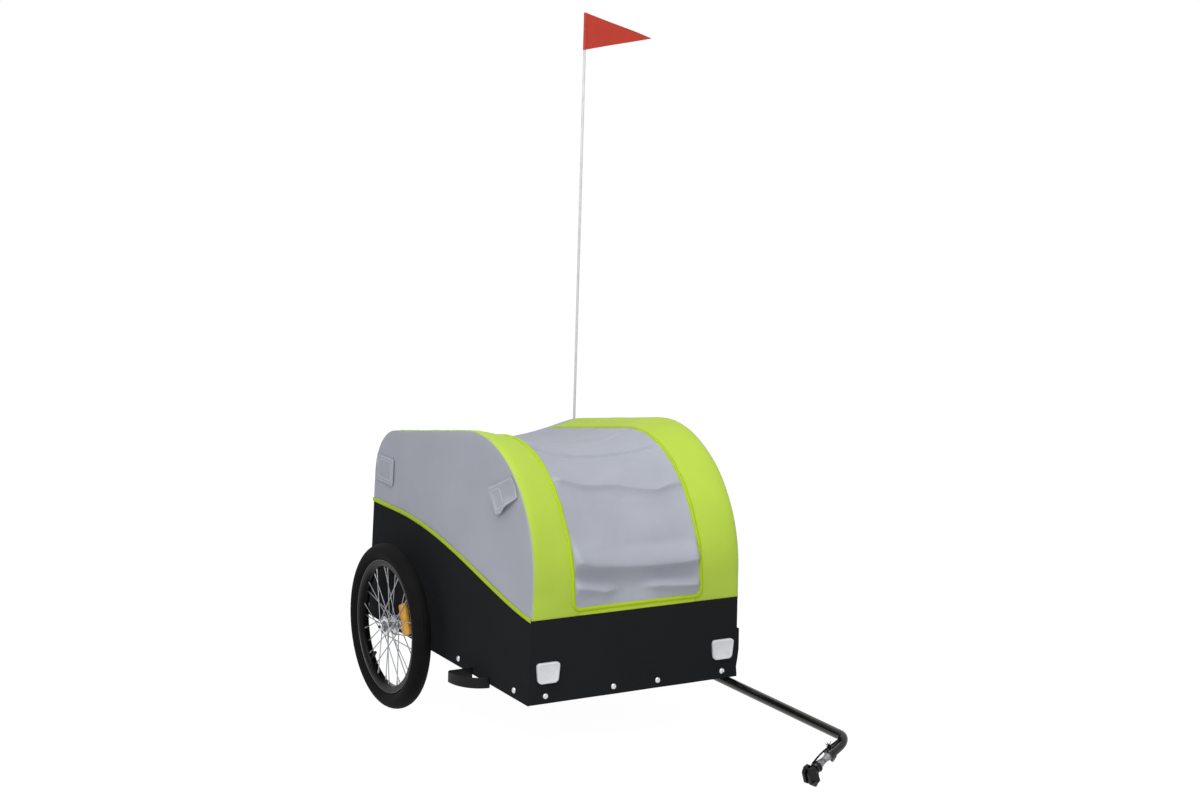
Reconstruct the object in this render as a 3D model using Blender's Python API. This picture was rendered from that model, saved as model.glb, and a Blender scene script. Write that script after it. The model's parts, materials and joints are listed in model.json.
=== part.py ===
"""Two-wheeled bicycle cargo trailer with a fabric body, in metres, +Z up, travelling towards -Y.

The trailer is modelled level, with its origin at the middle of the wheel axle. Everything hangs
from the "stance" empty, which tips it nose-down until wheels and coupler stand on the floor.
"""
import math

import bmesh
import bpy
from mathutils import Matrix, Vector

# Clearance between solids that touch on the real trailer
GAP = 0.0003

# Wheels
WHEEL_RADIUS = 0.200
WHEEL_STEPS = 44
TYRE_HALF_WIDTH = 0.0225
TYRE_HALF_HEIGHT = 0.0205
RIM_FLANGE_RADIUS = 0.1605
RIM_HALF_WIDTH = 0.0128
RIM_WALL = 0.0022
RIM_DEPTH = 0.0165
HUB_HALF_LENGTH = 0.020
HUB_BARREL_RADIUS = 0.0105
FLANGE_RADIUS = 0.0245
FLANGE_SPREAD = 0.0120
FLANGE_THICKNESS = 0.0028
AXLE_RADIUS = 0.006
AXLE_COLLAR_RADIUS = 0.011
AXLE_CAP_RADIUS = 0.0095
AXLE_CAP_LENGTH = 0.006
AXLE_GRIP = 0.060
SPOKES_PER_FLANGE = 14
SPOKE_RADIUS = 0.0010
SPOKE_CROSSINGS = 3
WHEEL_TO_BODY = 0.055
BUTTON_RADIUS = 0.0034
BUTTON_LENGTH = 0.009
BUTTON_PROUD = 0.0035
REFLECTOR_RING = 0.096
AMBER_LENGTH = 0.074
AMBER_DEPTH = 0.032
AMBER_INNER = 0.0100
AMBER_OUTER = 0.0056
AMBER_ANGLE = math.radians(160)

# Fabric body, seen from the side: front wall, front arch, sloping roof, rear corner, rear wall
BODY_WIDTH = 0.550
BODY_FRONT = 0.602
BODY_REAR = 0.249
ROOF_HEIGHT = 0.521
FRONT_ARCH_RADIUS = 0.300
REAR_CORNER_RADIUS = 0.125
ROOF_SLOPE = math.radians(9.4)
REAR_LEAN = math.radians(1.6)
SIDE_LEAN = 0.0233
CLOTH = 0.0025
SKIRT_FRONT_TOP = 0.153
SKIRT_REAR_TOP = 0.261
SKIRT_RISE = 0.70
SKIRT_CURVE = 1.4
RIBBON_HEIGHT = 0.009
RIBBON_THICKNESS = 0.0012

# Green bands over the hoops and the zipped cover between them
BAND_WIDTH = 0.105
STRIP_HEIGHT = 0.014
COVER_CORNER = 0.026
PIPING_RADIUS = 0.003
HINGE_BACK = 0.118
HINGE_CLEARANCE = 0.0024
COVER_SAG = 0.004
# Each fold of the cover: way up from the body's bottom edge, depth (inwards), half width, droop
COVER_FOLDS = (
    (0.236, 0.0060, 0.009, 0.006),
    (0.262, -0.0040, 0.010, 0.008),
    (0.290, 0.0070, 0.012, 0.010),
    (0.325, -0.0040, 0.014, 0.010),
    (0.470, 0.0070, 0.016, 0.022),
    (0.560, 0.0035, 0.014, 0.016),
)

# Rows of the cover's mesh: up to how far above its lower edge, and how far apart
COVER_ROWS = ((0.026, 0.0065), (0.138, 0.0125), (0.388, 0.0220))
COVER_LAST_STEP = 0.045
REAR_PANEL_COLUMNS = 6

# How far the cloth between the hoops hangs in, and between which runs that grows
ROOF_SAG = 0.040
SAG_START = 0.190
SAG_FULL = 0.450
BAR_CLEARANCE = 0.001
ROOF_BAR_STEP = 0.050

# Frame
RAIL_WIDTH = 0.020
RAIL_HEIGHT = 0.025
BEAM_SIZE = 0.025
BEAM_BORE_CLEARANCE = 0.0003
HOOP_RADIUS = 0.008
FLOOR_THICKNESS = 0.003
SCREW_HEAD_RADIUS = 0.0058
SCREW_HEAD_HEIGHT = 0.0034
SCREW_SHANK_RADIUS = 0.0022
SCREW_BELOW_TOP = 0.0065
FRONT_SCREW_FROM_CORNER = 0.043
FRONT_SCREW_FROM_MIDDLE = 0.058
SIDE_SCREWS_BACK = (0.066, 0.341)

# Wheel guards at the sides
GUARD_REACH = 0.064
GUARD_BACK = -0.333
GUARD_LENGTH = 0.087
GUARD_TOP = -0.021
GUARD_HEIGHT = 0.025
GUARD_THICKNESS = 0.003
GUARD_CORNER = 0.010

# Drawbar, its bracket and clamp
DRAWBAR_RADIUS = 0.011
DRAWBAR_INBOARD = 0.014
DRAWBAR_PIVOT_BACK = 0.122
DRAWBAR_TAIL = 0.018
DRAWBAR_REACH = 0.443
DRAWBAR_BEND_RADIUS = 0.030
LEG_DIRECTION = Vector((-0.869, -0.094, -0.487)).normalized()
BRACKET_THICKNESS = 0.003
BRACKET_WIDTH = 0.060
BRACKET_LENGTH = 0.090
BRACKET_LIP = 0.021
PIVOT_RADIUS = 0.004
PIVOT_GRIP = 0.016
KNOB_RADIUS = 0.014
KNOB_HEIGHT = 0.013
KNOB_LOBES = 6

# Coupler, measured along the drawbar's short leg from the bend's corner
LEG_TUBE_END = 0.057
COLLAR_LENGTH = 0.011
COLLAR_WALL = 0.0026
NECK_RADIUS = 0.0092
NECK_WAIST = 0.0078
NECK_INSET = 0.004
CUP_START = 0.092
CUP_END = 0.1045
CUP_WALL = 0.0028
CUP_FLOOR = 0.0025
PITCH_PIN_AT = 0.1110
PITCH_PIN_RADIUS = 0.003
TONGUE_HALF_WIDTH = 0.0055
TONGUE_HALF_THICKNESS = 0.004
BLOCK_HALF_THICKNESS = 0.014
BLOCK_OUTLINE = (
    (0.1051, 0.0000),
    (0.1086, 0.0130),
    (0.1200, 0.0140),
    (0.1295, 0.0055),
    (0.1340, -0.0180),
    (0.1260, -0.0265),
    (0.1100, -0.0235),
    (0.1088, -0.0130),
)
BLOCK_BEVEL = 0.0012
BLOCK_WEB = (0.1180, 0.1215)
HITCH_SLOT_HALF_WIDTH = 0.0045
HITCH_PIN_RADIUS = 0.003
HITCH_PIN_AT = (0.1275, -0.0175)
HITCH_PIN_HEAD = 0.0058
HITCH_PIN_HEAD_LENGTH = 0.004
HITCH_PIN_CLEARANCE = 0.0003
CORD_RADIUS = 0.002

# Flag
POLE_RADIUS = 0.0033
POLE_OUTBOARD = 0.007
POLE_FROM_REAR = 0.049
POLE_TOP = 1.481
SOCKET_SIDE = 0.0135
SOCKET_HEIGHT = 0.055
SOCKET_FLOOR = 0.005
LOOP_HEIGHT = 0.045
LOOP_AT = 0.190
FLAG_HEIGHT = 0.093
FLAG_LENGTH = 0.200
FLAG_TIP_DROP = 0.058
FLAG_THICKNESS = 0.0012
FLAG_SLEEVE_WALL = 0.0011
FLAG_WAVE = 0.006

# Reflectors, pocket and hook-and-loop tabs
REFLECTOR_WIDTH = 0.060
REFLECTOR_HEIGHT = 0.050
REFLECTOR_TAPER = 0.004
REFLECTOR_CORNER = 0.009
REFLECTOR_DEPTH = 0.007
FRONT_REFLECTOR_FROM_SIDE = 0.046
FRONT_REFLECTOR_Z = 0.032
REAR_REFLECTOR_FROM_SIDE = 0.070
REAR_REFLECTOR_Z = 0.060
POCKET_LENGTH = 0.150
POCKET_HEIGHT = 0.098
POCKET_DEPTH = 0.007
POCKET_BOTTOM = -0.024
POCKET_FRONT_MARGIN = 0.010
POCKET_CORNER = 0.022
TAB_THICKNESS = 0.002
REAR_TAB_BOTTOM = 0.313
REAR_TAB_HEIGHT = 0.068
REAR_TAB_END_Y = 0.128
FRONT_TAB_FROM_TOP = 0.091
FRONT_TAB_LENGTH = 0.120
FRONT_TAB_WIDTH = 0.068
FRONT_TAB_ANGLE = math.radians(-24)
FRONT_TAB_INSET = 0.010
TAB_MARGIN = 0.002

# Sizes that follow from the ones above
BASE_DROP = RAIL_HEIGHT + GAP + BEAM_SIZE / 2
RAIL_TOP = RAIL_HEIGHT - BASE_DROP
SCREW_Z = RAIL_TOP - SCREW_BELOW_TOP
BEAM_TOP = RAIL_TOP + GAP + BEAM_SIZE
FLOOR_TOP = BEAM_TOP + GAP + FLOOR_THICKNESS
LINING = CLOTH + GAP
WHEEL_X = BODY_WIDTH / 2 + WHEEL_TO_BODY
AXLE_BORE = AXLE_RADIUS + BEAM_BORE_CLEARANCE
TYRE_CENTRE = WHEEL_RADIUS - TYRE_HALF_HEIGHT
RIM_INNER = RIM_FLANGE_RADIUS - RIM_DEPTH
HOOP_INSET = LINING + HOOP_RADIUS
DRAWBAR_Z = -BASE_DROP - 2 * GAP - BRACKET_THICKNESS - DRAWBAR_RADIUS
DRAWBAR_X = BODY_WIDTH / 2 - DRAWBAR_INBOARD
DRAWBAR_PIVOT_Y = DRAWBAR_PIVOT_BACK - BODY_FRONT
DRAWBAR_BEND_Y = -BODY_FRONT - DRAWBAR_REACH
POLE_X = BODY_WIDTH / 2 + POLE_OUTBOARD
POLE_Y = BODY_REAR - POLE_FROM_REAR
FRONT_TAB_HEIGHT = ROOF_HEIGHT - FRONT_TAB_FROM_TOP
FRONT_REFLECTOR_X = BODY_WIDTH / 2 - FRONT_REFLECTOR_FROM_SIDE
REAR_REFLECTOR_X = BODY_WIDTH / 2 - REAR_REFLECTOR_FROM_SIDE
OUTER_SCREW = BODY_WIDTH / 2 - FRONT_SCREW_FROM_CORNER
FRONT_SCREWS = (-OUTER_SCREW, -FRONT_SCREW_FROM_MIDDLE, FRONT_SCREW_FROM_MIDDLE, OUTER_SCREW)
SIDE_SCREWS = tuple(back - BODY_FRONT for back in SIDE_SCREWS_BACK)
BEND_CORNER = Vector((DRAWBAR_X, DRAWBAR_BEND_Y, DRAWBAR_Z))
ARCH_CENTRE_Y = FRONT_ARCH_RADIUS - BODY_FRONT
ARCH_CENTRE_Z = ROOF_HEIGHT - FRONT_ARCH_RADIUS


def clear_scene():
    for old in list(bpy.data.objects):
        bpy.data.objects.remove(old, do_unlink=True)


# Materials

def material(name, colour, roughness=0.5, metallic=0.0):
    made = bpy.data.materials.new(name)
    made.use_nodes = True
    shader = made.node_tree.nodes["Principled BSDF"]
    shader.inputs["Base Color"].default_value = (*colour, 1.0)
    shader.inputs["Roughness"].default_value = roughness
    shader.inputs["Metallic"].default_value = metallic
    made.diffuse_color = (*colour, 1.0)
    return made


def trailer_materials():
    return {
        "black_cloth": material("black_cloth", (0.020, 0.021, 0.023), 0.85),
        "grey_cloth": material("grey_cloth", (0.33, 0.34, 0.38), 0.80),
        "green_cloth": material("green_cloth", (0.55, 0.80, 0.08), 0.75),
        "green_piping": material("green_piping", (0.45, 0.75, 0.01), 0.60),
        "flag_cloth": material("flag_cloth", (0.62, 0.07, 0.03), 0.75),
        "board": material("board", (0.03, 0.03, 0.03), 0.80),
        "black_steel": material("black_steel", (0.015, 0.015, 0.016), 0.30, 0.6),
        "black_rim": material("black_rim", (0.010, 0.010, 0.011), 0.35, 0.5),
        "bright_steel": material("bright_steel", (0.70, 0.71, 0.72), 0.25, 1.0),
        "tyre_rubber": material("tyre_rubber", (0.012, 0.012, 0.012), 0.75),
        "grey_rubber": material("grey_rubber", (0.45, 0.45, 0.46), 0.45),
        "black_plastic": material("black_plastic", (0.012, 0.012, 0.013), 0.45),
        "cord_black": material("cord_black", (0.012, 0.012, 0.012), 0.70),
        "white_fibre": material("white_fibre", (0.75, 0.75, 0.75), 0.35),
        "white_reflector": material("white_reflector", (0.62, 0.63, 0.65), 0.15),
        "red_reflector": material("red_reflector", (0.45, 0.01, 0.01), 0.15),
        "amber_reflector": material("amber_reflector", (0.75, 0.30, 0.02), 0.20),
    }


# Mesh helpers

def empty(name, parent=None, matrix=None):
    made = bpy.data.objects.new(name, None)
    bpy.context.collection.objects.link(made)
    made.parent = parent
    if matrix is not None:
        made.matrix_local = matrix
    return made


def joint_frame(name, parent, matrix):
    """Empty on a joint's axis, holding one that brings back its parent's own frame."""
    axis = empty(f"{name}_axis", parent, matrix)
    return empty(f"{name}_frame", axis, matrix.inverted())


def finish(name, mesh, look, parent, smooth=None):
    """Put a bmesh into a named object; smooth is the angle in degrees that stays rounded."""
    bmesh.ops.remove_doubles(mesh, verts=mesh.verts, dist=1e-6)
    bmesh.ops.recalc_face_normals(mesh, faces=mesh.faces)
    data = bpy.data.meshes.new(name)
    mesh.to_mesh(data)
    mesh.free()
    data.materials.append(look)
    if smooth:
        data.shade_smooth()
        data.set_sharp_from_angle(angle=math.radians(smooth))
    made = bpy.data.objects.new(name, data)
    bpy.context.collection.objects.link(made)
    made.parent = parent
    return made


def add_box(mesh, low, high):
    size = Vector(high) - Vector(low)
    centre = (Vector(high) + Vector(low)) / 2
    bmesh.ops.create_cube(mesh, matrix=Matrix.Translation(centre) @ Matrix.Diagonal((*size, 1)))


def add_prism(mesh, outline, direction):
    """Extrude a flat outline of 3-D points by a vector."""
    verts = [mesh.verts.new(point) for point in outline]
    face = mesh.faces.new(verts)
    grown = bmesh.ops.extrude_face_region(mesh, geom=[face])["geom"]
    moved = [item for item in grown if isinstance(item, bmesh.types.BMVert)]
    bmesh.ops.translate(mesh, verts=moved, vec=direction)


def add_turned(mesh, profile, axis="X", steps=24, closed=False, start=0.0):
    """Turn (along, radius) points about an axis; a closed profile makes a ring."""
    verts = [mesh.verts.new(Vector((along, radius, 0.0))) for along, radius in profile]
    pairs = list(zip(verts, verts[1:]))
    if closed:
        pairs.append((verts[-1], verts[0]))
    edges = [mesh.edges.new(pair) for pair in pairs]
    turned = {
        "X": Matrix.Identity(3),
        "Y": Matrix.Rotation(math.pi / 2, 3, "Z"),
        "Z": Matrix.Rotation(-math.pi / 2, 3, "Y"),
    }[axis]
    spin = Matrix.Rotation(start, 3, "X")
    before = set(mesh.verts) - set(verts)
    bmesh.ops.rotate(mesh, verts=verts, cent=(0, 0, 0), matrix=spin)
    bmesh.ops.spin(
        mesh,
        geom=verts + edges,
        cent=(0, 0, 0),
        axis=(1, 0, 0),
        angle=2 * math.pi,
        steps=steps,
        use_merge=True,
        use_duplicate=False,
    )
    new = [vert for vert in mesh.verts if vert not in before]
    bmesh.ops.rotate(mesh, verts=new, cent=(0, 0, 0), matrix=turned)
    bmesh.ops.remove_doubles(mesh, verts=new, dist=1e-6)


def turned(name, profile, look, parent, axis="X", steps=24, closed=False, at=(0, 0, 0), start=0.0):
    mesh = bmesh.new()
    add_turned(mesh, profile, axis, steps, closed, start)
    bmesh.ops.translate(mesh, verts=mesh.verts, vec=at)
    return finish(name, mesh, look, parent, smooth=40)


def add_shell(mesh, outer, inner):
    """Close the space between two grids of points that have the same rows and columns."""
    tops = [[mesh.verts.new(point) for point in row] for row in outer]
    lows = [[mesh.verts.new(point) for point in row] for row in inner]
    rows = len(tops)
    columns = len(tops[0])
    for i in range(rows - 1):
        for j in range(columns - 1):
            mesh.faces.new((tops[i][j], tops[i + 1][j], tops[i + 1][j + 1], tops[i][j + 1]))
            mesh.faces.new((lows[i][j], lows[i][j + 1], lows[i + 1][j + 1], lows[i + 1][j]))
    for i in range(rows - 1):
        for j in (0, columns - 1):
            mesh.faces.new((tops[i][j], lows[i][j], lows[i + 1][j], tops[i + 1][j]))
    for j in range(columns - 1):
        for i in (0, rows - 1):
            mesh.faces.new((tops[i][j], tops[i][j + 1], lows[i][j + 1], lows[i][j]))


def shell(name, outer, inner, look, parent, smooth=35):
    mesh = bmesh.new()
    add_shell(mesh, outer, inner)
    return finish(name, mesh, look, parent, smooth)


def bent_tube(name, points, radius, look, parent, resolution=2):
    """A round tube along points, made as a bevelled curve and kept as a mesh."""
    curve = bpy.data.curves.new(name, "CURVE")
    curve.dimensions = "3D"
    curve.bevel_depth = radius
    curve.bevel_resolution = resolution
    curve.use_fill_caps = True
    spline = curve.splines.new("POLY")
    spline.points.add(len(points) - 1)
    for slot, point in zip(spline.points, points):
        slot.co = (*point, 1.0)
    made = bpy.data.objects.new(name, curve)
    bpy.context.collection.objects.link(made)
    graph = bpy.context.evaluated_depsgraph_get()
    mesh = bmesh.new()
    mesh.from_mesh(bpy.data.meshes.new_from_object(made.evaluated_get(graph)))
    bpy.data.objects.remove(made, do_unlink=True)
    return finish(name, mesh, look, parent, smooth=50)


def cutter(name, mesh, parent):
    """A solid that only cuts others."""
    data = bpy.data.meshes.new(name)
    bmesh.ops.recalc_face_normals(mesh, faces=mesh.faces)
    mesh.to_mesh(data)
    mesh.free()
    made = bpy.data.objects.new(name, data)
    bpy.context.collection.objects.link(made)
    made.parent = parent
    made.hide_render = True
    made.display_type = "WIRE"
    return made


def rod_cutter(name, radius, axis, start, end, at, parent, steps=16):
    mesh = bmesh.new()
    add_turned(mesh, ((start, 0), (start, radius), (end, radius), (end, 0)), axis, steps)
    bmesh.ops.translate(mesh, verts=mesh.verts, vec=at)
    return cutter(name, mesh, parent)


def boolean(target, tool, operation="DIFFERENCE", use_self=False):
    step = target.modifiers.new(operation.lower(), "BOOLEAN")
    step.operation = operation
    step.object = tool
    step.solver = "EXACT"
    step.use_self = use_self


def bevel(target, width, segments=1, angle=40):
    step = target.modifiers.new("bevel", "BEVEL")
    step.width = width
    step.segments = segments
    step.limit_method = "ANGLE"
    step.angle_limit = math.radians(angle)


def rounded_outline(width, height, corner, taper=0.0, steps=4):
    """Corner-rounded rectangle about the origin whose lower half is narrower by the taper."""
    points = []
    corners = ((1, 1, 0), (-1, 1, 90), (-1, -1, 180), (1, -1, 270))
    for side, level, start in corners:
        half = width / 2 - (taper if level < 0 else 0.0)
        centre = Vector((side * (half - corner), level * (height / 2 - corner)))
        for step in range(steps + 1):
            turn = math.radians(start + 90 * step / steps)
            points.append(centre + corner * Vector((math.cos(turn), math.sin(turn))))
    return points


# Side profile of the fabric body

def rear_corner_centre():
    """Centre of the rear corner's arc, which touches the roof line and the rear wall."""
    wall = Vector((math.cos(REAR_LEAN), math.sin(REAR_LEAN)))
    roof = Vector((math.sin(ROOF_SLOPE), math.cos(ROOF_SLOPE)))
    on_wall = Vector((BODY_REAR, -BASE_DROP)).dot(wall) - REAR_CORNER_RADIUS
    arch = Vector((ARCH_CENTRE_Y, ARCH_CENTRE_Z))
    on_roof = arch.dot(roof) + FRONT_ARCH_RADIUS - REAR_CORNER_RADIUS
    across = wall.x * roof.y - wall.y * roof.x
    return Vector((on_wall * roof.y - on_roof * wall.y, wall.x * on_roof - roof.x * on_wall)) / across


REAR_CENTRE = rear_corner_centre()
ROOF_NORMAL = Vector((math.sin(ROOF_SLOPE), math.cos(ROOF_SLOPE)))
WALL_NORMAL = Vector((math.cos(REAR_LEAN), math.sin(REAR_LEAN)))
ROOF_FRONT = Vector((ARCH_CENTRE_Y, ARCH_CENTRE_Z)) + FRONT_ARCH_RADIUS * ROOF_NORMAL
ROOF_BACK = REAR_CENTRE + REAR_CORNER_RADIUS * ROOF_NORMAL
WALL_TOP = REAR_CENTRE + REAR_CORNER_RADIUS * WALL_NORMAL
FRONT_WALL_RUN = ARCH_CENTRE_Z + BASE_DROP
ARCH_RUN = FRONT_ARCH_RADIUS * (math.pi / 2 + ROOF_SLOPE)
ROOF_RUN = (ROOF_BACK - ROOF_FRONT).length
CORNER_RUN = REAR_CORNER_RADIUS * (math.pi / 2 - ROOF_SLOPE - REAR_LEAN)
WALL_RUN = (WALL_TOP - Vector((BODY_REAR, -BASE_DROP))).length
ARCH_END = FRONT_WALL_RUN + ARCH_RUN
ROOF_END = ARCH_END + ROOF_RUN
CORNER_END = ROOF_END + CORNER_RUN
FULL_RUN = CORNER_END + WALL_RUN


def profile(run, inset=0.0):
    """Point (y, z) of the side profile, at a run from the front bottom edge, moved inwards."""
    if run <= FRONT_WALL_RUN:
        return Vector((-BODY_FRONT + inset, run - BASE_DROP))
    if run <= ARCH_END:
        turn = math.pi - (run - FRONT_WALL_RUN) / FRONT_ARCH_RADIUS
        out = Vector((math.cos(turn), math.sin(turn)))
        return Vector((ARCH_CENTRE_Y, ARCH_CENTRE_Z)) + (FRONT_ARCH_RADIUS - inset) * out
    if run <= ROOF_END:
        along = Vector((math.cos(ROOF_SLOPE), -math.sin(ROOF_SLOPE)))
        return ROOF_FRONT + along * (run - ARCH_END) - ROOF_NORMAL * inset
    if run <= CORNER_END:
        turn = math.pi / 2 - ROOF_SLOPE - (run - ROOF_END) / REAR_CORNER_RADIUS
        out = Vector((math.cos(turn), math.sin(turn)))
        return REAR_CENTRE + (REAR_CORNER_RADIUS - inset) * out
    down = Vector((math.sin(REAR_LEAN), -math.cos(REAR_LEAN)))
    return WALL_TOP + down * (run - CORNER_END) - WALL_NORMAL * inset


def side_at(height):
    """Distance of the side wall's outer face from the middle, at a height above the axle."""
    return BODY_WIDTH / 2 - SIDE_LEAN * (height + BASE_DROP)


def spread(start, end, step):
    """Evenly spaced values from start to end, about a step apart."""
    count = max(1, round(abs(end - start) / step))
    return [start + (end - start) * i / count for i in range(count + 1)]


def curve_runs(start, end, arch_step=0.030, flat_step=0.20):
    """Runs along the profile from start to end, close together only on its two arcs."""
    breaks = (0.0, FRONT_WALL_RUN, ARCH_END, ROOF_END, CORNER_END, FULL_RUN)
    steps = (flat_step, arch_step, flat_step, arch_step * 0.7, flat_step)
    runs = []
    for low, high, step in zip(breaks, breaks[1:], steps):
        first = max(low, start)
        last = min(high, end)
        if last - first > 1e-6:
            runs += spread(first, last, step)[bool(runs):]
    return runs


def skirt_top(y):
    """Height of the S-shaped seam between the black skirt and the grey side."""
    rise = min(1.0, max(0.0, (y + BODY_FRONT) / SKIRT_RISE))
    share = math.sin(math.pi / 2 * rise) ** SKIRT_CURVE
    return SKIRT_FRONT_TOP + (SKIRT_REAR_TOP - SKIRT_FRONT_TOP) * share


def rear_wall_y(height, inset=0.0):
    """How far back the straight rear wall is, at a height above the axle."""
    return BODY_REAR - math.tan(REAR_LEAN) * (height + BASE_DROP) - inset / math.cos(REAR_LEAN)


HINGE_RUN = ARCH_END + (HINGE_BACK - ROOF_FRONT.x) / math.cos(ROOF_SLOPE)
COVER_START = SKIRT_FRONT_TOP + BASE_DROP + STRIP_HEIGHT + 2 * PIPING_RADIUS + 2 * GAP
COVER_HALF = BODY_WIDTH / 2 - BAND_WIDTH - 2 * PIPING_RADIUS - 2 * GAP


def half_width(run, grow=0.0):
    """Half width of the cover at a run, grown outwards; its lower corners are rounded."""
    centre_run = COVER_START + COVER_CORNER
    centre_half = COVER_HALF - COVER_CORNER
    radius = COVER_CORNER + grow
    below = centre_run - run
    if below <= 0:
        return centre_half + radius
    return centre_half + math.sqrt(max(0.0, radius ** 2 - below ** 2))


def roof_sag(run, x):
    """How far the cloth hangs inside the profile between the hoops, at a run and a place across."""
    rise = (run - SAG_START) / (SAG_FULL - SAG_START)
    fall = (CORNER_END - run) / (CORNER_END - ROOF_END)
    share = min(1.0, max(0.0, min(rise, fall)))
    across = min(1.0, abs(x) / hoop_line(run))
    return ROOF_SAG * share * share * (3 - 2 * share) * (1 - across ** 2)


def hoop_line(run):
    """Distance from the middle to the line along which the cloth leaves the hoop."""
    return side_at(profile(run).y) - HOOP_INSET - HOOP_RADIUS / 2


# Fabric body

def side_plate(name, outline, side, look, parent, outer=0.0, thickness=CLOTH):
    """A flat sheet on one side wall, cut to a (y, z) outline, following the wall's lean."""
    mesh = bmesh.new()
    faces = []
    for depth in (outer, outer - thickness):
        points = [(side * (side_at(z) + depth), y, z) for y, z in outline]
        faces.append([mesh.verts.new(point) for point in points])
    count = len(outline)
    mesh.faces.new(faces[0])
    mesh.faces.new(faces[1][::-1])
    for i in range(count):
        j = (i + 1) % count
        mesh.faces.new((faces[0][i], faces[1][i], faces[1][j], faces[0][j]))
    return finish(name, mesh, look, parent)


def seam_points(offset, low_y, high_y):
    return [(y, skirt_top(y) + offset) for y in spread(low_y, high_y, 0.050)]


def side_panels(side, word, looks, parent):
    """Black skirt, grey side and the green ribbon over their seam."""
    front = -BODY_FRONT + LINING
    back = rear_wall_y(SKIRT_REAR_TOP, LINING)
    seam = seam_points(-GAP / 2, front, back)
    lower = [(front, -BASE_DROP), *seam, (rear_wall_y(-BASE_DROP, LINING), -BASE_DROP)]
    skirt = side_plate(f"{word}_skirt", lower, side, looks["black_cloth"], parent)
    for y in SIDE_SCREWS:
        at = (side * BODY_WIDTH / 2, y, SCREW_Z)
        boolean(skirt, rod_cutter(
            f"cut_{word}_screw_{round(-y * 1000)}",
            SCREW_SHANK_RADIUS + GAP, "X", -0.01, 0.01, at, parent, 10,
        ))
    boolean(skirt, rod_cutter(
        f"cut_{word}_axle", AXLE_RADIUS + GAP, "X", -0.02, 0.02,
        (side * BODY_WIDTH / 2, 0, 0), parent,
    ))
    runs = curve_runs(SKIRT_FRONT_TOP + BASE_DROP + GAP, FULL_RUN)
    over = [tuple(profile(run, LINING)) for run in runs]
    over = [point for point in over if point[1] > SKIRT_REAR_TOP + GAP or point[0] < 0]
    upper = over + [(y, z + GAP) for y, z in reversed(seam)][:-1]
    side_plate(f"{word}_side", upper, side, looks["grey_cloth"], parent)
    half = RIBBON_HEIGHT / 2
    low = seam_points(-half, -BODY_FRONT, rear_wall_y(SKIRT_REAR_TOP))
    high = seam_points(half, -BODY_FRONT, rear_wall_y(SKIRT_REAR_TOP))
    side_plate(
        f"{word}_ribbon", low + high[::-1], side, looks["green_piping"], parent,
        outer=GAP + RIBBON_THICKNESS, thickness=RIBBON_THICKNESS,
    )


def wall_rows(runs, inset, half=None, columns=0):
    """Rows of points across the body, out to its sides or a half width, columns between hoops."""
    turns = [math.pi * (j / columns - 0.5) for j in range(columns + 1)] if columns else []
    rows = []
    for run in runs:
        reach = half or side_at(profile(run, inset).y)
        across = (-reach, *(hoop_line(run) * math.sin(turn) for turn in turns), reach)
        rows.append([(x, *profile(run, inset + roof_sag(run, x))) for x in across])
    return rows


def cross_wall(name, start, end, look, parent, columns=0):
    """A full-width piece of the fabric shell between two runs of the profile."""
    runs = curve_runs(start, end)
    outer = wall_rows(runs, 0.0, None, columns)
    inner = wall_rows(runs, CLOTH, None, columns)
    return shell(name, outer, inner, look, parent)


def front_and_rear_walls(looks, parent):
    skirt_run = SKIRT_FRONT_TOP + BASE_DROP
    front = cross_wall("front_skirt", 0.0, skirt_run, looks["black_cloth"], parent)
    for x in FRONT_SCREWS:
        at = (x, -BODY_FRONT, SCREW_Z)
        boolean(front, rod_cutter(
            f"cut_front_screw_{round(x * 1000)}",
            SCREW_SHANK_RADIUS + GAP, "Y", -0.01, 0.01, at, parent, 10,
        ))
    rear_seam = FULL_RUN - (SKIRT_REAR_TOP + BASE_DROP) / math.cos(REAR_LEAN)
    cross_wall("rear_skirt", rear_seam + GAP, FULL_RUN, looks["black_cloth"], parent)
    start = HINGE_RUN + HINGE_CLEARANCE
    cross_wall("rear_panel", start, rear_seam, looks["grey_cloth"], parent, REAR_PANEL_COLUMNS)


def band(side, word, looks, parent):
    """Green band over one hoop, from the black skirt up and over to the cover's hinge."""
    start = SKIRT_FRONT_TOP + BASE_DROP + GAP
    grow = 2 * (PIPING_RADIUS + GAP)
    turns = [math.radians(90 - 10 * i) for i in range(10)]
    corner = [COVER_START + COVER_CORNER - (COVER_CORNER + grow) * math.sin(t) for t in turns]
    runs = [start] + corner + curve_runs(corner[-1], HINGE_RUN)[1:]
    grids = []
    for depth in (0.0, CLOTH):
        rows = []
        for run in runs:
            outer = side_at(profile(run, depth).y)
            row = []
            for x in (half_width(run, grow), hoop_line(run), outer):
                row.append((side * x, *profile(run, depth + roof_sag(run, x))))
            rows.append(row)
        grids.append(rows)
    shell(f"{word}_band", grids[0], grids[1], looks["green_cloth"], parent)


def front_strip(looks, parent):
    """Green strip across the front, between the bands, under the cover's lower edge."""
    start = SKIRT_FRONT_TOP + BASE_DROP + GAP
    end = COVER_START - 2 * (PIPING_RADIUS + GAP)
    half = COVER_HALF - COVER_CORNER - GAP
    runs = (start, end)
    outer = wall_rows(runs, 0.0, half)
    inner = wall_rows(runs, CLOTH, half)
    shell("front_strip", outer, inner, looks["green_cloth"], parent)


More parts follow.
